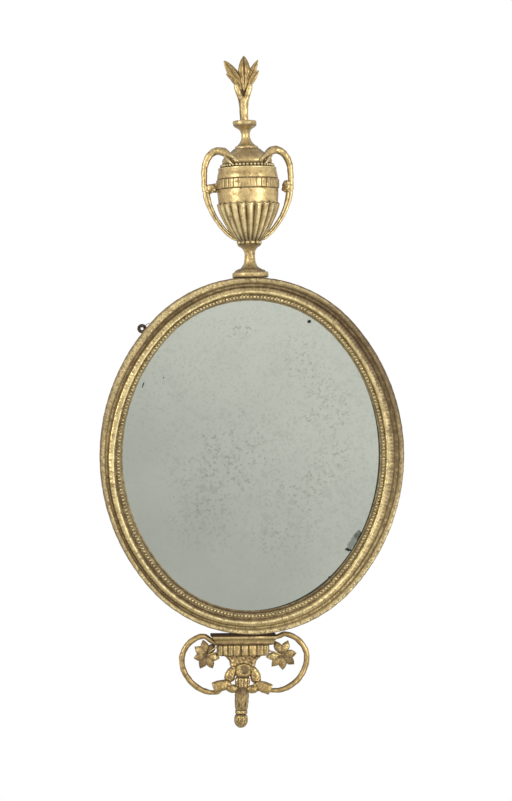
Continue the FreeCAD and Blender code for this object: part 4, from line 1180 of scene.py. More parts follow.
@dataclass
class Finial:
    """Forked stalk in the dish, with a spray of pointed leaves.

    Each part is rows of place across, height above the urn's foot and half width.
    """

    urn: Urn
    stalk_offset: float = -3.2
    prong_lift: float = 1.6
    shadow_setback: float = 3.4
    least_half: float = 0.35
    lobe_step: float = 1.5
    stalk: tuple = ((0, 311, 8.3), (0, 325, 8.5), (0, 340, 8.9), (0, 350, 9.8), (0, 357, 9.8),
                    (0, 361.6, 6.6))
    # Thin web behind the fork, painted dark all over: a painted shadow in the notch.
    shadow_web: tuple = ((0, 356, 7), (0.2, 366, 9), (0.6, 376, 11), (1, 386, 11))
    prong: tuple = ((4, 350, 4.6), (5.2, 355, 5.5), (7.2, 362, 6), (10.5, 373, 5.9), (12.9, 381, 5.8),
                    (13.6, 385.6, 4.4), (13.9, 387.8, 1.6))
    centre: tuple = ((-1.2, 394, 2), (-1.1, 396.6, 6), (-0.9, 402, 9.8), (-0.6, 410, 12.8),
                     (-0.7, 418.6, 12.1), (-1, 428.6, 9.2), (-1.2, 436.6, 5), (-1.3, 441.8, 1))
    tongue: tuple = ((-2.4, 373, 0.9), (-1.8, 380, 4.4), (-1.2, 388, 6.8), (-0.8, 396, 7.6), (-0.6, 402, 6.4),
                     (-0.6, 406, 2))
    left: tuple = ((-6.5, 376, 4.4), (-11, 387, 9.4), (-17.5, 398.5, 11.6), (-25, 411, 10.8),
                   (-31.8, 421.5, 7.8), (-37, 428.8, 4.8), (-40.4, 433.4, 1))
    right: tuple = ((4.6, 377, 4), (8.6, 390, 7), (13, 403, 8), (18.2, 416, 6.6), (23, 426, 4.4),
                    (27.4, 434, 0.9))
    left_sprig: tuple = ((-8, 380, 3), (-14, 388.5, 5.4), (-21.5, 396, 6), (-29, 402, 4.8),
                         (-34.6, 405.4, 2.6), (-37.6, 406.8, 0.8))
    right_sprig: tuple = ((8, 382, 3.4), (12.5, 392, 6.8), (18, 401, 7), (23.5, 407.5, 4.6), (27, 411.2, 2),
                          (28.6, 413, 0.7))

    def stalk_painted_shade(self, places: Array) -> Array:
        """Painted shade in the fork, over the dark web that closes it behind, and down the stalk's left side.
        """
        across, height = places[:, 0], places[:, 2]
        deep = places[:, 1] > -self.urn.axis_depth - 0.4
        dirt_and_shade = (0.6 * hump(height, 363.0, 3.0) + deep) * (height > 354)
        return dirt_and_shade + 0.8 * ramp(across, self.stalk_offset - 3.2, -4.0) * (height < 356)

    def tip_dirt(self, places: Array) -> Array:
        """Browning toward the leaves' tips."""
        return ramp(places[:, 2], 415.0, 26.0)

    def forked_stalk(self, palette: Palette) -> None:
        """Stalk that widens and splits into two round-ended prongs, with a thin dark web behind the fork as
        painted shadow.
        """
        depth = self.urn.axis_depth
        offset = (self.stalk_offset - 0.4, 0, 0)
        shell = Shell()
        shell.rod(through(self.stalk, 4) + offset, circle(24, 0.8), depth)
        for side in Side:
            prong = np.array(self.prong) * (side.value, 1, 1) + offset
            shell.rod(through(prong, 4), circle(20, 0.95), depth + self.prong_lift)
        # Painted shadow: the flat web set back in the fork.
        shell.rod(through(self.shadow_web, 4) + offset, circle(16, 0.2), depth - self.shadow_setback)
        piece = shell.made("finial_forked_stalk", self.urn.place(), uneven=0.45, uneven_size=16.0,
                           traits={"hollow": self.stalk_painted_shade})
        settle(piece, palette.gilding, ["finial_stalk"])

    def leaf(self, name: str, node: str, runs: Sequence[tuple], section: Array, lift: float, curl: float,
             palette: Palette) -> None:
        """One leaf whose tip curls forward.

        Args:
            name: name of the piece.
            node: the node that it stands for.
            runs: x, height and half width along the midrib of each lobe.
            section: the leaf's section.
            lift: depth of the leaf in front of the axis.
            curl: how much further forward its tip comes.
            palette: the finishes.
        """
        shell = Shell()
        for index, stations in enumerate(runs):
            curve = through(stations, 4)
            curve[:, 2] = np.maximum(curve[:, 2], self.least_half)
            share = np.linspace(0, 1, len(curve))
            depth = self.urn.axis_depth + lift - self.lobe_step * index + curl * share ** 2
            shell.rod(curve, section, depth)
        piece = shell.made(name, self.urn.place(), subdivide=1, uneven=0.2, uneven_size=15.0, relief=1.5,
                           traits={"chips": self.tip_dirt})
        settle(piece, palette.finial_gilding, [node])

    def build(self, palette: Palette) -> None:
        """Build the stalk and its leaves."""
        self.forked_stalk(palette)
        grooved = leaf_section(-0.3, 0.4, -0.2)
        ribbed = leaf_section(-0.12, 0.34, 0.1)
        leaves = (("leaf_centre", "finial_leaf_centre", (self.centre, self.tongue), grooved, 3.4, 3.6),
                  ("leaf_left", "finial_leaf_left", (self.left,), ribbed, -1.4, 2.0),
                  ("leaf_right", "finial_leaf_right", (self.right,), ribbed, -1.4, 2.0),
                  ("sprig_left", "finial_sprig_left", (self.left_sprig,), ribbed, 0.4, 2.5),
                  ("sprig_right", "finial_sprig_right", (self.right_sprig,), ribbed, 0.4, 2.5))
        for name, node, runs, section, lift, curl in leaves:
            self.leaf(name, node, runs, section, lift, curl, palette)


@dataclass
class Handle:
    """Bird-neck arm with an open beak, its boss on the drum and its strap under the bowl.

    Each part is rows of distance from the axis, height and half width. The neck and the beak also
    have how far they come forward of the axis.
    """

    urn: Urn
    side: Side
    neck: tuple = ((86.1, 173.9, 5.6, 0), (86.5, 187.7, 5.5, 0), (86.5, 207.4, 5.9, 0),
                   (84.8, 224.3, 6.4, 0.5), (77, 241.9, 7, 1.4), (65.7, 251.5, 7.4, 3.4),
                   (55.4, 253.5, 7.9, 6.2), (46.7, 250.2, 8.2, 13), (40.4, 245.2, 6.8, 21),
                   (37.6, 242.6, 4.6, 25.6))
    upper_beak: tuple = ((44, 247.6, 5.4, 18.2), (36, 242.2, 4.2, 31), (28.4, 235.8, 2.9, 42),
                         (20.8, 228.6, 0.9, 49))
    lower_beak: tuple = ((45.4, 242.4, 4.4, 19), (41.2, 234.8, 3.3, 30.4), (36.6, 228.4, 2.5, 38.6),
                         (31.2, 222.4, 0.9, 43.6))
    # Flat rod in the open beak, painted dark all over: a painted shadow in the gape.
    gape_shade_rod: tuple = ((42, 242.6, 2.4, 20), (38, 237.8, 3.4, 29), (33.4, 232.4, 3.6, 36.6),
                   (29.4, 228.2, 3.2, 40.6))
    bosses: dict = field(default_factory=lambda: {
        Side.LEFT: ((84, 177, 6), (81, 177.6, 8.6), (75.5, 178.6, 9.4), (70, 179.6, 8.8), (64.5, 180.4, 8.4),
                    (58, 180, 8.2)),
        Side.RIGHT: ((86, 180, 7.6), (83, 180.6, 11.4), (77.5, 180.6, 12.2), (73, 181.6, 10.4),
                     (70.4, 182.4, 7), (69.6, 182.6, 2))})
    strap: tuple = ((84, 176, 5.4), (83.2, 167, 7.6), (80.6, 154, 7), (75, 137.6, 6), (64.6, 117, 5.4),
                    (47.6, 94, 5.2), (30.6, 79.6, 4.6), (21, 75.4, 3.4))
    strap_section: tuple = ((1, 0), (0.86, 0.42), (0.5, 0.66), (0.2, 0.6), (0, 0.5), (-0.2, 0.6),
                            (-0.5, 0.66), (-0.86, 0.42), (-1, 0), (-0.8, -0.5), (0, -0.75), (0.8, -0.5))

    def gape_painted_shade(self, places: Array) -> Array:
        """Painted shade in the open beak, over the rod that fills it and the beak beside it."""
        gape_shade_rod = through(self.signed(self.gape_shade_rod), 6)
        away = np.hypot(places[:, None, 0] - gape_shade_rod[None, :, 0], places[:, None, 2] - gape_shade_rod[None, :, 1])
        nearest = away.argmin(axis=1)
        behind = -places[:, 1] - self.urn.axis_depth < gape_shade_rod[nearest, 3] + 1.9
        return 1.6 * (away.min(axis=1) < gape_shade_rod[nearest, 2] * 1.02) * behind

    def signed(self, stations: tuple) -> Array:
        """Stations on this handle's side of the urn."""
        rows = np.array(stations, float)
        rows[:, 0] *= self.side.value
        return rows

    def build(self, palette: Palette) -> None:
        """Build the arm, the boss and the strap."""
        which = self.side.word
        depth = self.urn.axis_depth
        place = self.urn.place()
        shell = Shell()
        for stations, section in ((self.neck, circle(20, 0.94)), (self.upper_beak, circle(14, 0.8)),
                                  (self.lower_beak, circle(14, 0.8)), (self.gape_shade_rod, circle(14, 0.4))):
            curve = through(self.signed(stations), 5)
            shell.rod(curve[:, :3], section, depth + curve[:, 3])
        # Dirt and painted shade on the neck's turned-away sides, heavier on the right handle.
        kept = 0.65 if self.side is Side.LEFT else 0.9
        piece = shell.made("bird_neck_" + which, place, uneven=0.7, uneven_size=17.0, flank=kept,
                           traits={"hollow": self.gape_painted_shade})
        settle(piece, palette.gilding, ["handle_neck_" + which])
        shell = Shell()
        shell.rod(through(self.signed(self.bosses[self.side]), 4), circle(24, 0.86, 0.75), depth)
        piece = shell.made("boss_" + which, place, subdivide=1, uneven=1.6, uneven_size=13.0, relief=0.7)
        settle(piece, palette.gilding, ["handle_boss_" + which])
        shell = Shell()
        shell.rod(through(self.signed(self.strap), 4), np.array(self.strap_section), depth)
        piece = shell.made("strap_" + which, place, subdivide=1, uneven=0.3, uneven_size=22.0, flank=0.85)
        settle(piece, palette.gilding, ["handle_strap_" + which])


# Apron


@dataclass
class Apron:
    """Carved apron: cornice, frieze, corbel, pendant, husks and scrolls.

    Turned outlines are rows of radius and drop. Rods are rows of distance from the middle, drop
    and half width. A reed has its middle as a share of the frieze's half width, its own half
    width and its shine.
    """

    x: float = -14.5
    top: float = -359.8
    lean: float = 2.2
    half_width: float = 64.5
    pendant_axis: float = 4.0
    cornice: tuple = ((1, 0, 30), (1, 4.6, 30), (0.985, 5.2, 29.4), (0.955, 6.4, 27.4), (0.93, 9, 25.6),
                      (0.912, 12, 24.6), (0.9, 14.2, 24.6), (0.905, 15, 25.2), (0.88, 16.4, 24),
                      (0.84, 17.2, 22.6))
    cornice_corner: float = 1.0
    frieze_x: float = -17.7
    frieze_low: float = -398.4
    frieze_half: float = 52.0
    frieze_ground: float = 21.4
    reed_rise: float = 4.5
    reed_square: float = 2.6
    frieze_points: int = 401
    reeds: tuple = ((-0.88, 4.6, 0), (-0.69, 4.7, 0.35), (-0.49, 5, 0), (-0.245, 7.4, 0), (0.062, 7.2, 0.5),
                    (0.365, 7.6, 0), (0.655, 6.9, 0), (0.89, 4.9, 0.15))
    corbel: tuple = ((0.8, 0), (0.7, 0.1), (0.62, 0.25), (0.56, 0.4), (0.52, 0.56), (0.495, 0.78), (0.48, 1))
    corbel_height: float = 21.8
    corbel_depth: float = 15.0
    corbel_band: float = 2.2
    corbel_points: int = 41
    hood_top: float = -414.0
    hood: tuple = ((8, -0.6), (12.4, 1), (15.2, 4.6), (16.3, 9.5), (16.3, 17), (15.6, 22.6), (12.8, 27),
                   (10.8, 29))
    tongue: tuple = ((10.8, 27.6), (13.2, 29), (14.8, 32), (14.9, 38), (14.2, 44), (13.6, 49.8), (10, 50.4))
    face_drop: float = 13.0
    face_half_width: float = 11.4
    face_half_height: float = 11.0
    face_sink: float = 3.6
    face_radius: float = 16.0
    face_shift: float = 2.0
    groove_depth: float = 2.2
    calyx_top: float = -464.0
    calyx: tuple = ((9, -2.4), (13.4, -1), (14.3, 4), (14.3, 14), (14, 25), (13.2, 36), (12.4, 42),
                    (11.6, 44.4), (12.3, 46.6), (12.2, 50.6), (10.6, 52.4))
    berry_top: float = -516.8
    pit_pitch: float = 4.6
    pit_columns: int = 10
    pit_depth: float = 1.3
    berry: tuple = ((10.4, 0), (12.4, 2.6), (13.6, 7.6), (13.7, 12.6), (12.4, 18), (9.4, 22.8), (5, 26),
                    (1.4, 27))
    pod: tuple = ((12, 58, 4), (16.4, 64.6, 7.6), (21.4, 71.4, 9.8), (25, 78.4, 10.9), (26.2, 84.6, 11.2),
                  (27, 89.6, 9.6), (27, 93.6, 5.4))
    pillow: tuple = ((10, 105, 5.4), (14.6, 105.4, 7.8), (20, 105.6, 8.6), (25.4, 104.6, 7.8),
                     (29, 102.4, 5.6))
    cup: tuple = ((25, 101, 7), (29.4, 99.4, 7.4), (32, 98.8, 9.2), (35, 98.8, 10.4), (42, 100, 11),
                  (50, 102.4, 11.2), (57, 104.6, 11.2), (59.4, 105.4, 10.4))
    cup_share: dict = field(default_factory=lambda: {Side.LEFT: 0.985, Side.RIGHT: 0.95})
    scroll_depth: float = 9.0
    scroll: tuple = ((0.38, 0.97, 0.4), (0.44, 0.995, 0.75), (0.585, 0.987, 0.9), (0.737, 0.915, 1),
                     (0.865, 0.794, 1), (0.958, 0.632, 1), (1, 0.466, 1), (0.991, 0.309, 1),
                     (0.913, 0.148, 1), (0.792, 0.036, 1), (0.66, -0.012, 0.95))
    scroll_ends: dict = field(default_factory=lambda: {
        Side.LEFT: ((0.58, 0.03, 0.9), (0.52, 0.08, 0.85), (0.44, 0.13, 0.7)),
        Side.RIGHT: ((0.58, 0.012, 0.9), (0.52, 0.035, 0.85), (0.44, 0.06, 0.7))})
    scroll_reach: float = 124.8
    scroll_drop: float = 111.5
    scroll_half: float = 5.7
    scroll_middle: tuple = (0.55, 0.47)
    rises: dict = field(default_factory=lambda: {Side.LEFT: -1.2, Side.RIGHT: 1.8})

    def pendant_place(self) -> Matrix:
        """How a pendant piece drawn upright is leaned about the top of the apron."""
        pivot = Vector((self.x, 0, self.top))
        return (Matrix.Translation(pivot) @ Matrix.Rotation(math.radians(self.lean), 4, "Y")
                @ Matrix.Translation(-pivot))

    def make_cornice(self, palette: Palette) -> None:
        """Cornice with its flat lip, its hollow and its bead, cut back at its two front corners."""
        shell = Shell()
        rows, cut = [], self.cornice_corner
        for share, drop, depth in self.cornice:
            half, z = self.half_width * share, self.top - drop
            left, right = self.x - half, self.x + half
            rows.append([(left, 0.0, z), (left, cut - depth, z), (left + cut, -depth, z),
                         (self.x, -depth, z), (right - cut, -depth, z), (right, cut - depth, z),
                         (right, 0.0, z), (self.x, 0.0, z)])
        shell.rings(np.array(rows))
        piece = shell.made("cornice_moulded")
        drop = self.top - points_of(piece.data)[:, 2] / MM
        # Painted shade under the flat lip and low on the cornice, and painted highlight over its upper part,
        # most on the lip.
        add_trait(piece.data, "hollow", 0.7 * hump(drop, 5.6, 0.9) + 0.75 * ramp(drop, 12.4, 1.6))
        add_trait(piece.data, "crest", 0.3 * (drop < 12) + 0.3 * hump(drop, 2.4, 1.6))
        settle(piece, palette.apron_gilding, ["apron_cornice"], palette.carved_back)

    def make_frieze(self, palette: Palette) -> None:
        """Frieze with its row of rounded reeds between two straight edges."""
        top, low = self.top - self.cornice[-1][1], self.frieze_low
        profile = []
        for share in np.linspace(-1, 1, self.frieze_points):
            depth = self.frieze_ground
            for middle, half, _ in self.reeds:
                away = abs(share - middle) * self.frieze_half / half
                if away < 1:
                    square = self.reed_square
                    depth = self.frieze_ground + self.reed_rise * (1 - away ** square) ** (1 / square)
            profile.append((self.frieze_x + share * self.frieze_half, depth))
        rows = []
        for height, back in ((top, 2.4), (top - 1.2, 0.5), (top - 2.6, 0.0), ((top + low) / 2, 0.0),
                             (low + 2.6, 0.0), (low + 1.2, 0.5), (low, 2.4)):
            front = [(x, -(depth - back), height) for x, depth in profile]
            rows.append([(profile[0][0], 0.0, height)] + front + [(profile[-1][0], 0.0, height)])
        shell = Shell()
        shell.rings(np.array(rows))
        piece = shell.made("frieze_reeded", uneven=0.5, uneven_size=13.0)
        rise = (-points_of(piece.data)[:, 1] / MM - self.frieze_ground) / self.reed_rise
        # Dirt and painted shade on the ground between the reeds.
        add_trait(piece.data, "hollow", np.clip(1.0 - 1.7 * rise, 0.2, 0.75) * (rise > -0.9))
        share = (points_of(piece.data)[:, 0] / MM - self.frieze_x) / self.frieze_half
        middles, _, shines = zip(*self.reeds)
        # Painted highlight on the reeds' fronts, as strong as each reed's shine.
        add_trait(piece.data, "crest", np.clip(4.0 * rise - 3.2, 0, 1) * np.interp(share, middles, shines))
        settle(piece, palette.apron_gilding, ["apron_frieze"], palette.carved_back)

    def make_corbel(self, palette: Palette) -> None:
        """Hollow-sided corbel with a raised band along each side."""
        rows = []
        for share, drop in through(self.corbel, 4):
            half = self.frieze_half * share
            z = self.frieze_low - self.corbel_height * drop
            front = []
            for across in np.linspace(-1, 1, self.corbel_points):
                band = self.corbel_band * hump(abs(across), 0.84, 0.1)
                edge = 2.0 * max(abs(across) - 0.94, 0) / 0.06
                front.append((self.frieze_x + half * across, -(self.corbel_depth - 2.4 + band - edge), z))
            rows.append([(self.frieze_x - half, 0.0, z)] + front + [(self.frieze_x + half, 0.0, z)])
        shell = Shell()
        shell.rings(np.array(rows))
        piece = shell.made("corbel_hollow_sided", uneven=0.6, uneven_size=12.0)
        settle(piece, palette.worn_gilding, ["apron_corbel"], palette.carved_back)

    def face(self, angle: Array, height: Array) -> Array:
        """How far inside the hood's dark oval face a point is, from 0 at its edge to 1."""
        across = (np.sin(angle) * self.face_radius - self.face_shift) / self.face_half_width
        drop = (self.hood_top - self.face_drop - height) / self.face_half_height
        return ramp(np.hypot(across, drop), 1.0, -0.5) * (np.cos(angle) > 0)

    def squarer(self, angle: Array) -> Array:
        """How much further out a rounded square reaches than the circle inside it, at its front."""
        reach = (np.abs(np.sin(angle)) ** 3 + np.abs(np.cos(angle)) ** 3) ** (-1 / 3)
        return np.where(np.cos(angle) > 0, reach, 1.0)

    def hooded(self, angle: Array, height: Array, radius: Array) -> Array:
        """Sink the hood's face, so that an arched rim stands round it."""
        return radius * self.squarer(angle) - self.face_sink * self.face(angle, height)

    def tongued(self, angle: Array, height: Array, radius: Array) -> Array:
        """Cut two upright grooves beside the middle of the tongue, and a fainter one in it."""
        across = np.sin(angle)
        groove = hump(np.abs(across), 0.66, 0.1) + 0.5 * hump(across, 0.1, 0.1)
        return radius * self.squarer(angle) - self.groove_depth * groove * (np.cos(angle) > 0)

    def leafed(self, angle: Array, height: Array, radius: Array) -> Array:
        """Carve the calyx's long leaf with its midrib and its two slits."""
        across = np.sin(angle)
        drop = self.calyx_top - height
        half = 0.2 + 0.5 * ramp(drop, 0.0, 12.0)
        leaf = 1.5 * ramp(np.abs(across), half, -0.12) * (drop < 41)
        rib = 1.2 * hump(across, 0.0, 0.09) * (drop > 8) * (drop < 40)
        slit = 3.6 * hump(np.abs(across), 0.5, 0.09) * hump(drop, 33.0, 5.0)
        return radius + (np.cos(angle) > 0) * (leaf + rib - slit - 1.2)

    def pits(self, angle: Array, height: Array) -> Array:
        """Rows of pits drilled in the berry's face, from 0 to 1."""
        row = (self.berry_top - height) / self.pit_pitch
        shift = np.round(row) * math.pi
        wave = np.cos(row * 2 * math.pi) * np.sin(angle * self.pit_columns + shift)
        return np.clip(1.7 * wave - 0.5, 0, 1)

    def pitted(self, angle: Array, height: Array, radius: Array) -> Array:
        """Drill the berry's pits."""
        return radius - self.pit_depth * self.pits(angle, height)

    def pendant_shading_and_dirt(self, places: Array) -> Array:
        """Dirt and painted shade in the hood's face, under the hood, over the calyx's leaf and in the berry's
        pits.
        """
        height = places[:, 2]
        angle = turn_about((self.x, self.pendant_axis), places)
        across, drop = np.sin(angle), self.calyx_top - height
        grime_and_shade = 0.5 * np.clip(1.5 * self.face(angle, height), 0, 1)
        grime_and_shade += 0.7 * hump(height, self.hood_top - 28.4, 1.6)
        leaf = ramp(np.abs(across), 0.72, -0.1) * (drop > -3) * (drop < 41)
        grime_and_shade += leaf * (0.3 + 0.5 * hump(drop, 2.0, 9.0))
        grime_and_shade += hump(np.abs(across), 0.5, 0.1) * hump(drop, 33.0, 5.5)
        grime_and_shade += 0.8 * hump(drop, 44.4, 1.4) + 0.8 * hump(height, self.berry_top, 1.6)
        return grime_and_shade + self.pits(angle, height) * (height < self.berry_top - 1)

    def pendant(self, palette: Palette) -> None:
        """Hood with its tongue, calyx and berry, round fronted."""
        axis = (self.x, self.pendant_axis)
        pieces = (("hood_and_tongue", "pendant_hood", self.hood_top,
                   ((self.hood, self.hooded), (self.tongue, self.tongued))),
                  ("calyx_leaf", "pendant_calyx", self.calyx_top, ((self.calyx, self.leafed),)),
                  ("berry_drop", "pendant_bud", self.berry_top, ((self.berry, self.pitted),)))
        for name, node, top, runs in pieces:
            shell = Shell()
            for outline, relief in runs:
                curve = through(np.array(outline) * (1, -1), 6) + (0, top)
                shell.turned(curve[::-1], 96, axis, relief)
            piece = shell.made(name, self.pendant_place(), uneven=0.45, uneven_size=9.0,
                               traits={"hollow": self.pendant_shading_and_dirt})
            settle(piece, palette.apron_gilding, [node], palette.carved_back)

    def husks(self, side: Side, palette: Palette) -> None:
        """Leaf pod and tilted bell of one side."""
        which = side.word
        sign = side.value
        place = self.pendant_place()
        shell = Shell()
        shell.rod(through(self.beside(self.pod, sign), 4), leaf_section(0.16, 0.5, -0.5, 0.5),
                  self.scroll_depth - 2.4)
        piece = shell.made("pod_leaf_" + which, place, subdivide=1, uneven=0.5, uneven_size=9.0,
                           relief=2.2, flank=0.8)
        settle(piece, palette.leaf_gilding, ["husk_leaf_" + which])

        shell = Shell()
        shell.rod(through(self.beside(self.pillow, sign), 4), circle(24, 0.9), self.scroll_depth + 1.6)
        cup = np.array(self.cup) * (self.cup_share[side], 1, 1)
        shell.rod(through(self.beside(cup, sign), 4), circle(28, 0.8, 0.7), self.scroll_depth + 0.6)
        piece = shell.made("bell_" + which, place, uneven=0.6, uneven_size=11.0)
        settle(piece, palette.leaf_gilding, ["bell_husk_" + which])

    def beside(self, stations: Sequence[Sequence[float]], sign: int) -> Array:
        """Stations given as distance from the middle, drop and half width, on one side."""
        placed = np.array(stations, float)
        placed[:, 0] = self.x + sign * placed[:, 0]
        placed[:, 1] = self.top - placed[:, 1]
        return placed

    def make_scroll(self, side: Side, palette: Palette) -> None:
        """Big C scroll of one side."""
        which = side.word
        sizes = (self.scroll_reach, self.scroll_drop, self.scroll_half)
        rows = np.array(self.scroll + self.scroll_ends[side]) * sizes
        rows[:, 1] -= self.rises[side]
        shell = Shell()
        curve = through(self.beside(rows, side.value), 6)
        shell.rod(curve, circle(20, 0.95), self.scroll_depth)
        middle_across, middle_drop = self.scroll_middle
        middle = np.array([self.x + side.value * middle_across * self.scroll_reach,
                           self.top - middle_drop * self.scroll_drop])

        def inner_side(places: Array) -> Array:
            """Dirt and painted shade on the side of the rod that faces the middle of the scroll."""
            flat = places[:, [0, 2]]
            nearest = np.linalg.norm(flat[:, None] - curve[None, :, :2], axis=2).argmin(axis=1)
            inward = np.linalg.norm(curve[nearest, :2] - middle, axis=1)
            inward -= np.linalg.norm(flat - middle, axis=1)
            return np.clip(inward / self.scroll_half - 0.2, 0, 0.8)

        piece = shell.made("scroll_rod_" + which, uneven=0.5, uneven_size=19.0, traits={"hollow": inner_side})
        settle(piece, palette.leaf_gilding, ["scroll_" + which])

    def build(self, palette: Palette) -> None:
        """Build the whole apron."""
        self.make_cornice(palette)
        self.make_frieze(palette)
        self.make_corbel(palette)
        self.pendant(palette)
        for side in Side:
            self.husks(side, palette)
            self.make_scroll(side, palette)


@dataclass
class LeafSpray:
    """Seven broad pointed leaves spread about one centre, on short stems from the frieze.

    Each leaf has its heading in degrees, its length and its dirt and painted shade.
    """

    side: Side
    x: float
    z: float
    leaves: tuple
    stems: tuple
    half: float = 8.2
    least_half: float = 0.3
    leaf_depth: float = 8.4
    overlap: float = 1.2
    tip_fall: float = 3.0
    arch: float = 1.6
    middle_depth: float = 9.5
    middle_size: tuple = (4.4, 3.6, 4.4)
    stem_depth: float = 15.6
    outline: tuple = ((0.08, 0.3), (0.24, 0.66), (0.44, 0.98), (0.62, 1.04), (0.79, 0.74), (0.92, 0.32),
                      (1, 0.03))

    def grime_and_shade(self, places: Array) -> Array:
        """Dirt and painted shade of the leaf that each point is nearest to, with more between the leaves and
        at the middle.
        """
        turn = np.degrees(np.arctan2(places[:, 2] - self.z, places[:, 0] - self.x))
        headings = np.array([heading for heading, _, _ in self.leaves])
        away = np.abs((turn[:, None] - headings[None, :] + 180) % 360 - 180)
        dirt_and_shade = np.array([dirt_and_shade for _, _, dirt_and_shade in self.leaves])[away.argmin(axis=1)]
        reach = np.hypot(places[:, 0] - self.x, places[:, 2] - self.z)
        dirt_and_shade = 0.9 * dirt_and_shade + 0.4 * np.clip(away.min(axis=1) / 25 - 0.4, 0, 1) + 0.3 * (reach < 8)
        return dirt_and_shade * (-places[:, 1] < self.stem_depth - 0.8)

    def crests(self, places: Array) -> Array:
        """Painted highlight on the leaves with the least dirt and shade."""
        return np.clip(0.9 - 4.0 * self.grime_and_shade(places), 0, 1)

    def build(self, palette: Palette) -> None:
        """Build the leaves, the middle and the stems as one carving."""
        which = self.side.word
        shell = Shell()
        for index, (heading, long, _) in enumerate(self.leaves):
            turn = math.radians(heading)
            rows = []
            for along, width in self.outline:
                rows.append((self.x + math.cos(turn) * long * along, self.z + math.sin(turn) * long * along,
                             self.half * width))
            curve = through(rows, 4)
            curve[:, 2] = np.maximum(curve[:, 2], self.least_half)
            share = np.linspace(0, 1, len(curve))
            depth = self.leaf_depth + self.overlap * (index % 2) - self.tip_fall * share ** 2
            shell.rod(curve, leaf_section(0.12, 0.34, -0.3), depth + self.arch * np.sin(share * math.pi))
        shell.ball((self.x, -self.middle_depth, self.z), self.middle_size, 16, 10)
        for start, end in self.stems:
            bend = ((start[0] + end[0]) / 2, (start[1] + end[1]) / 2 + 0.6)
            line = through([(*start, 1.9), (*bend, 1.6), (*end, 1.8)], 4)
            shell.rod(line, circle(12), self.stem_depth)
        piece = shell.made("leaf_spray_carved_" + which, subdivide=1, uneven=0.3, uneven_size=9.0,
                           traits={"hollow": self.grime_and_shade, "crest": self.crests})
        settle(piece, palette.leaf_gilding, ["leaf_spray_" + which])


def leaf_sprays() -> list[LeafSpray]:
    """The two sprays, the left one first."""
    return [
        LeafSpray(Side.LEFT, -90.2, -396.8,
                  ((146.5, 28.5, 0.1), (103, 30.4, 0.45), (195.5, 26.5, 0.4), (245, 30.5, 0.6),
                   (294, 30.5, 0.3), (345, 27.4, 0.0), (54, 27.4, 0.7)),
                  (((-67.0, -379.0), (-88.0, -393.0)), ((-67.0, -391.0), (-88.0, -396.6)))),
        LeafSpray(Side.RIGHT, 61.4, -397.6,
                  ((67, 30.4, 0.1), (120, 31.4, 0.35), (4.6, 29.0, 0.3), (321, 31.5, 0.65), (272, 31.2, 0.3),
                   (228, 32.0, 0.3), (189, 33.0, 0.0)),
                  (((31.5, -388.5), (58.0, -397.0)),)),
    ]


# Back and hardware


@dataclass
class Hardware:
    """Glass, planks, board and fittings, shown by their CAD meshes, and two rings of round wire."""

    bevel: float = 0.5
    ring_x: float = 120.0
    ring_pin_y: float = 3.6
    ring_pin_z: float = 292.574
    ring_wire: float = 1.75
    ring_points: int = 14
    ring_half: float = 9.25
    ring_drop: float = 14.25
    ring_fullness: float = 0.8
    ring_bar: float = 0.6

    def dress(self, nodes: dict[str, Object], names: Iterable[str], material: Material, bevel: float) -> None:
        """Give nodes their finish and soften their edges by a bevel in millimetres."""
        for name in names:
            node = nodes[name]
            node.data.materials.clear()
            node.data.materials.append(material)
            if bevel:
                softened = node.modifiers.new("softened", "BEVEL")
                softened.width = bevel * MM
                softened.segments = 2
                softened.limit_method = "ANGLE"
                softened.angle_limit = math.radians(BEVEL_ANGLE)
            LOG.info("%s: carried over", name)

    def ring(self, side: Side, palette: Palette) -> None:
        """Smooth D ring of round wire in its plate."""
        turn = np.linspace(0, math.pi, 25)
        bow = [(self.ring_half * math.cos(angle), -self.ring_drop * math.sin(angle) ** self.ring_fullness)
               for angle in turn]
        bar = self.ring_half * self.ring_bar
        line = np.array([(0.0, 0.0), (bar, 0.0)] + bow + [(-bar, 0.0)])
        x = side.value * self.ring_x
        following = np.roll(line, -1, axis=0) - np.roll(line, 1, axis=0)
        following /= np.linalg.norm(following, axis=1)[:, None]
        normal = np.stack([-following[:, 1], following[:, 0]], axis=1)
        rings = []
        for (px, pz), (nx, nz) in zip(line, normal):
            rings.append([(x + px + nx * c, self.ring_pin_y + s, self.ring_pin_z + pz + nz * c)
                          for c, s in circle(self.ring_points) * self.ring_wire])
        shell = Shell()
        shell.rings(np.array(rings), ends=False)
        which = side.word
        piece = shell.made("ring_wire_" + which)
        settle(piece, palette.brass, ["hanging_ring_" + which], body=which + "_ring")

    def build(self, nodes: dict[str, Object], palette: Palette) -> None:
        """Dress every CAD node that is shown as it is, and bend the rings."""
        wood, metal = self.bevel, self.bevel / 2
        for material, bevel, names in (
                (palette.glass, 0, ("mirror_plate",)),
                (palette.pine, wood, ("backboard_left", "backboard_right", "glazing_blocks")),
                (palette.wide_pine, wood, ("backboard_centre",)),
                (palette.dark_wood, wood, ("apron_board",)),
                (palette.iron, metal, ("backboard_nails", "crest_stay", "crest_stay_screws", "apron_stay",
                                       "apron_stay_screws", "steady_eye", "steady_eye_screws", "tie_wire")),
                (palette.brass, metal, ("ring_plate_left", "ring_plate_right", "ring_plate_screws"))):
            self.dress(nodes, names, material, bevel)
        for side in Side:
            self.ring(side, palette)


# Studio


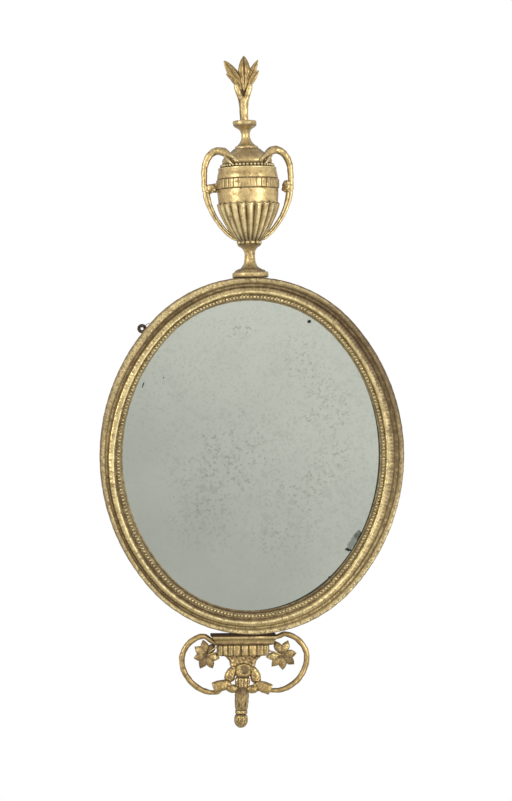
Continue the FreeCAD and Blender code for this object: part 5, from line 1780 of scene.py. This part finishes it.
@dataclass
class Studio:
    """Camera, soft lamps, pale floor and white surroundings, in metres.

    Each lamp has its name, place, width and power.
    """

    distance: float = 5.5
    azimuth: float = -5.0
    aim: tuple = (0.0095, 0.0, 0.110)
    lens: float = 123.6
    sensor: float = 36.0
    light_on_object: float = 0.5
    floor_drop: float = 1.45
    floor_half: float = 2.2
    lamps: tuple = (("left_box", (-3.6, -2.7, 0.9), 1.5, 56.0), ("right_box", (2.9, -3.3, 0.7), 1.3, 46.0),
                    ("front_box", (0.45, -4.0, 1.35), 0.7, 10.0), ("low_box", (1.6, -3.4, -1.2), 0.9, 15.0))

    def camera(self) -> None:
        """Set the camera level with the mirror, a little to its left."""
        data = bpy.data.cameras.new("camera")
        data.lens = self.lens
        data.sensor_width = self.sensor
        camera = add_object("camera", data)
        turn = math.radians(self.azimuth)
        camera.location = (self.aim[0] + self.distance * math.sin(turn),
                           self.aim[1] - self.distance * math.cos(turn), self.aim[2])
        camera.rotation_euler = (math.radians(90), 0, turn)
        bpy.context.scene.camera = camera

    def lamp(self, name: str, place: Sequence[float], size: float, power: float) -> None:
        """One square soft lamp aimed at the middle of the mirror."""
        data = bpy.data.lights.new(name, "AREA")
        data.size = size
        data.energy = power
        lamp = add_object(name, data)
        lamp.location = place
        heading = Vector(self.aim) - Vector(place)
        lamp.rotation_euler = heading.to_track_quat("-Z", "Y").to_euler()

    def surroundings(self) -> None:
        """White to the camera and in reflections, plainer as light on the object."""
        world = bpy.data.worlds.new("studio")
        world.use_nodes = True
        tree = world.node_tree
        tree.nodes.clear()
        path = add_node(tree, "ShaderNodeLightPath")
        seen = add_node(tree, "ShaderNodeMath", {"operation": "MAXIMUM"},
                        {0: path.outputs["Is Camera Ray"], 1: path.outputs["Is Glossy Ray"]})
        shown = add_node(tree, "ShaderNodeMath", {"operation": "MAXIMUM"},
                         {0: seen.outputs[0], 1: path.outputs["Is Transmission Ray"]})
        lit, white = [add_node(tree, "ShaderNodeBackground", None,
                               {"Color": (1, 1, 1, 1), "Strength": strength}).outputs[0]
                      for strength in (self.light_on_object, 1.0)]
        mixed = add_node(tree, "ShaderNodeMixShader", None, {0: shown.outputs[0], 1: lit, 2: white})
        add_node(tree, "ShaderNodeOutputWorld", None, {"Surface": mixed.outputs[0]})
        bpy.context.scene.world = world

    def floor(self) -> None:
        """Pale plain floor below the mirror."""
        mesh = bpy.data.meshes.new("floor")
        half, z = self.floor_half, -self.floor_drop
        mesh.from_pydata([(-half, -half, z), (half, -half, z), (half, half, z), (-half, half, z)], [],
                         [(0, 1, 2, 3)])
        floor = add_object("floor", mesh)
        g = Graph("matt_painted_floor")
        tone = g.blend(g.span(g.speckle(400.0, 3), 0.3, 0.7), linear("#F0F0EE"), linear("#EAEAE8"))
        mesh.materials.append(g.close({"Base Color": tone, "Roughness": 0.9}, g.speckle(4.0, 3), 0.05))

    def build(self) -> None:
        """Set up the whole studio."""
        bpy.context.scene.view_settings.view_transform = "Standard"
        self.camera()
        self.surroundings()
        self.floor()
        for name, place, size, power in self.lamps:
            self.lamp(name, place, size, power)


def main() -> None:
    """Build the mirror and its studio."""
    logging.basicConfig(level=logging.INFO, format="%(message)s")
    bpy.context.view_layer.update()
    palette = Palette()
    OvalFrame().build(palette)
    urn = Urn()
    urn.build(palette)
    Finial(urn).build(palette)
    for side in Side:
        Handle(urn, side).build(palette)
    Apron().build(palette)
    for spray in leaf_sprays():
        spray.build(palette)
    Hardware().build(frame["nodes"], palette)
    Studio().build()


if __name__ == "__main__":
    main()
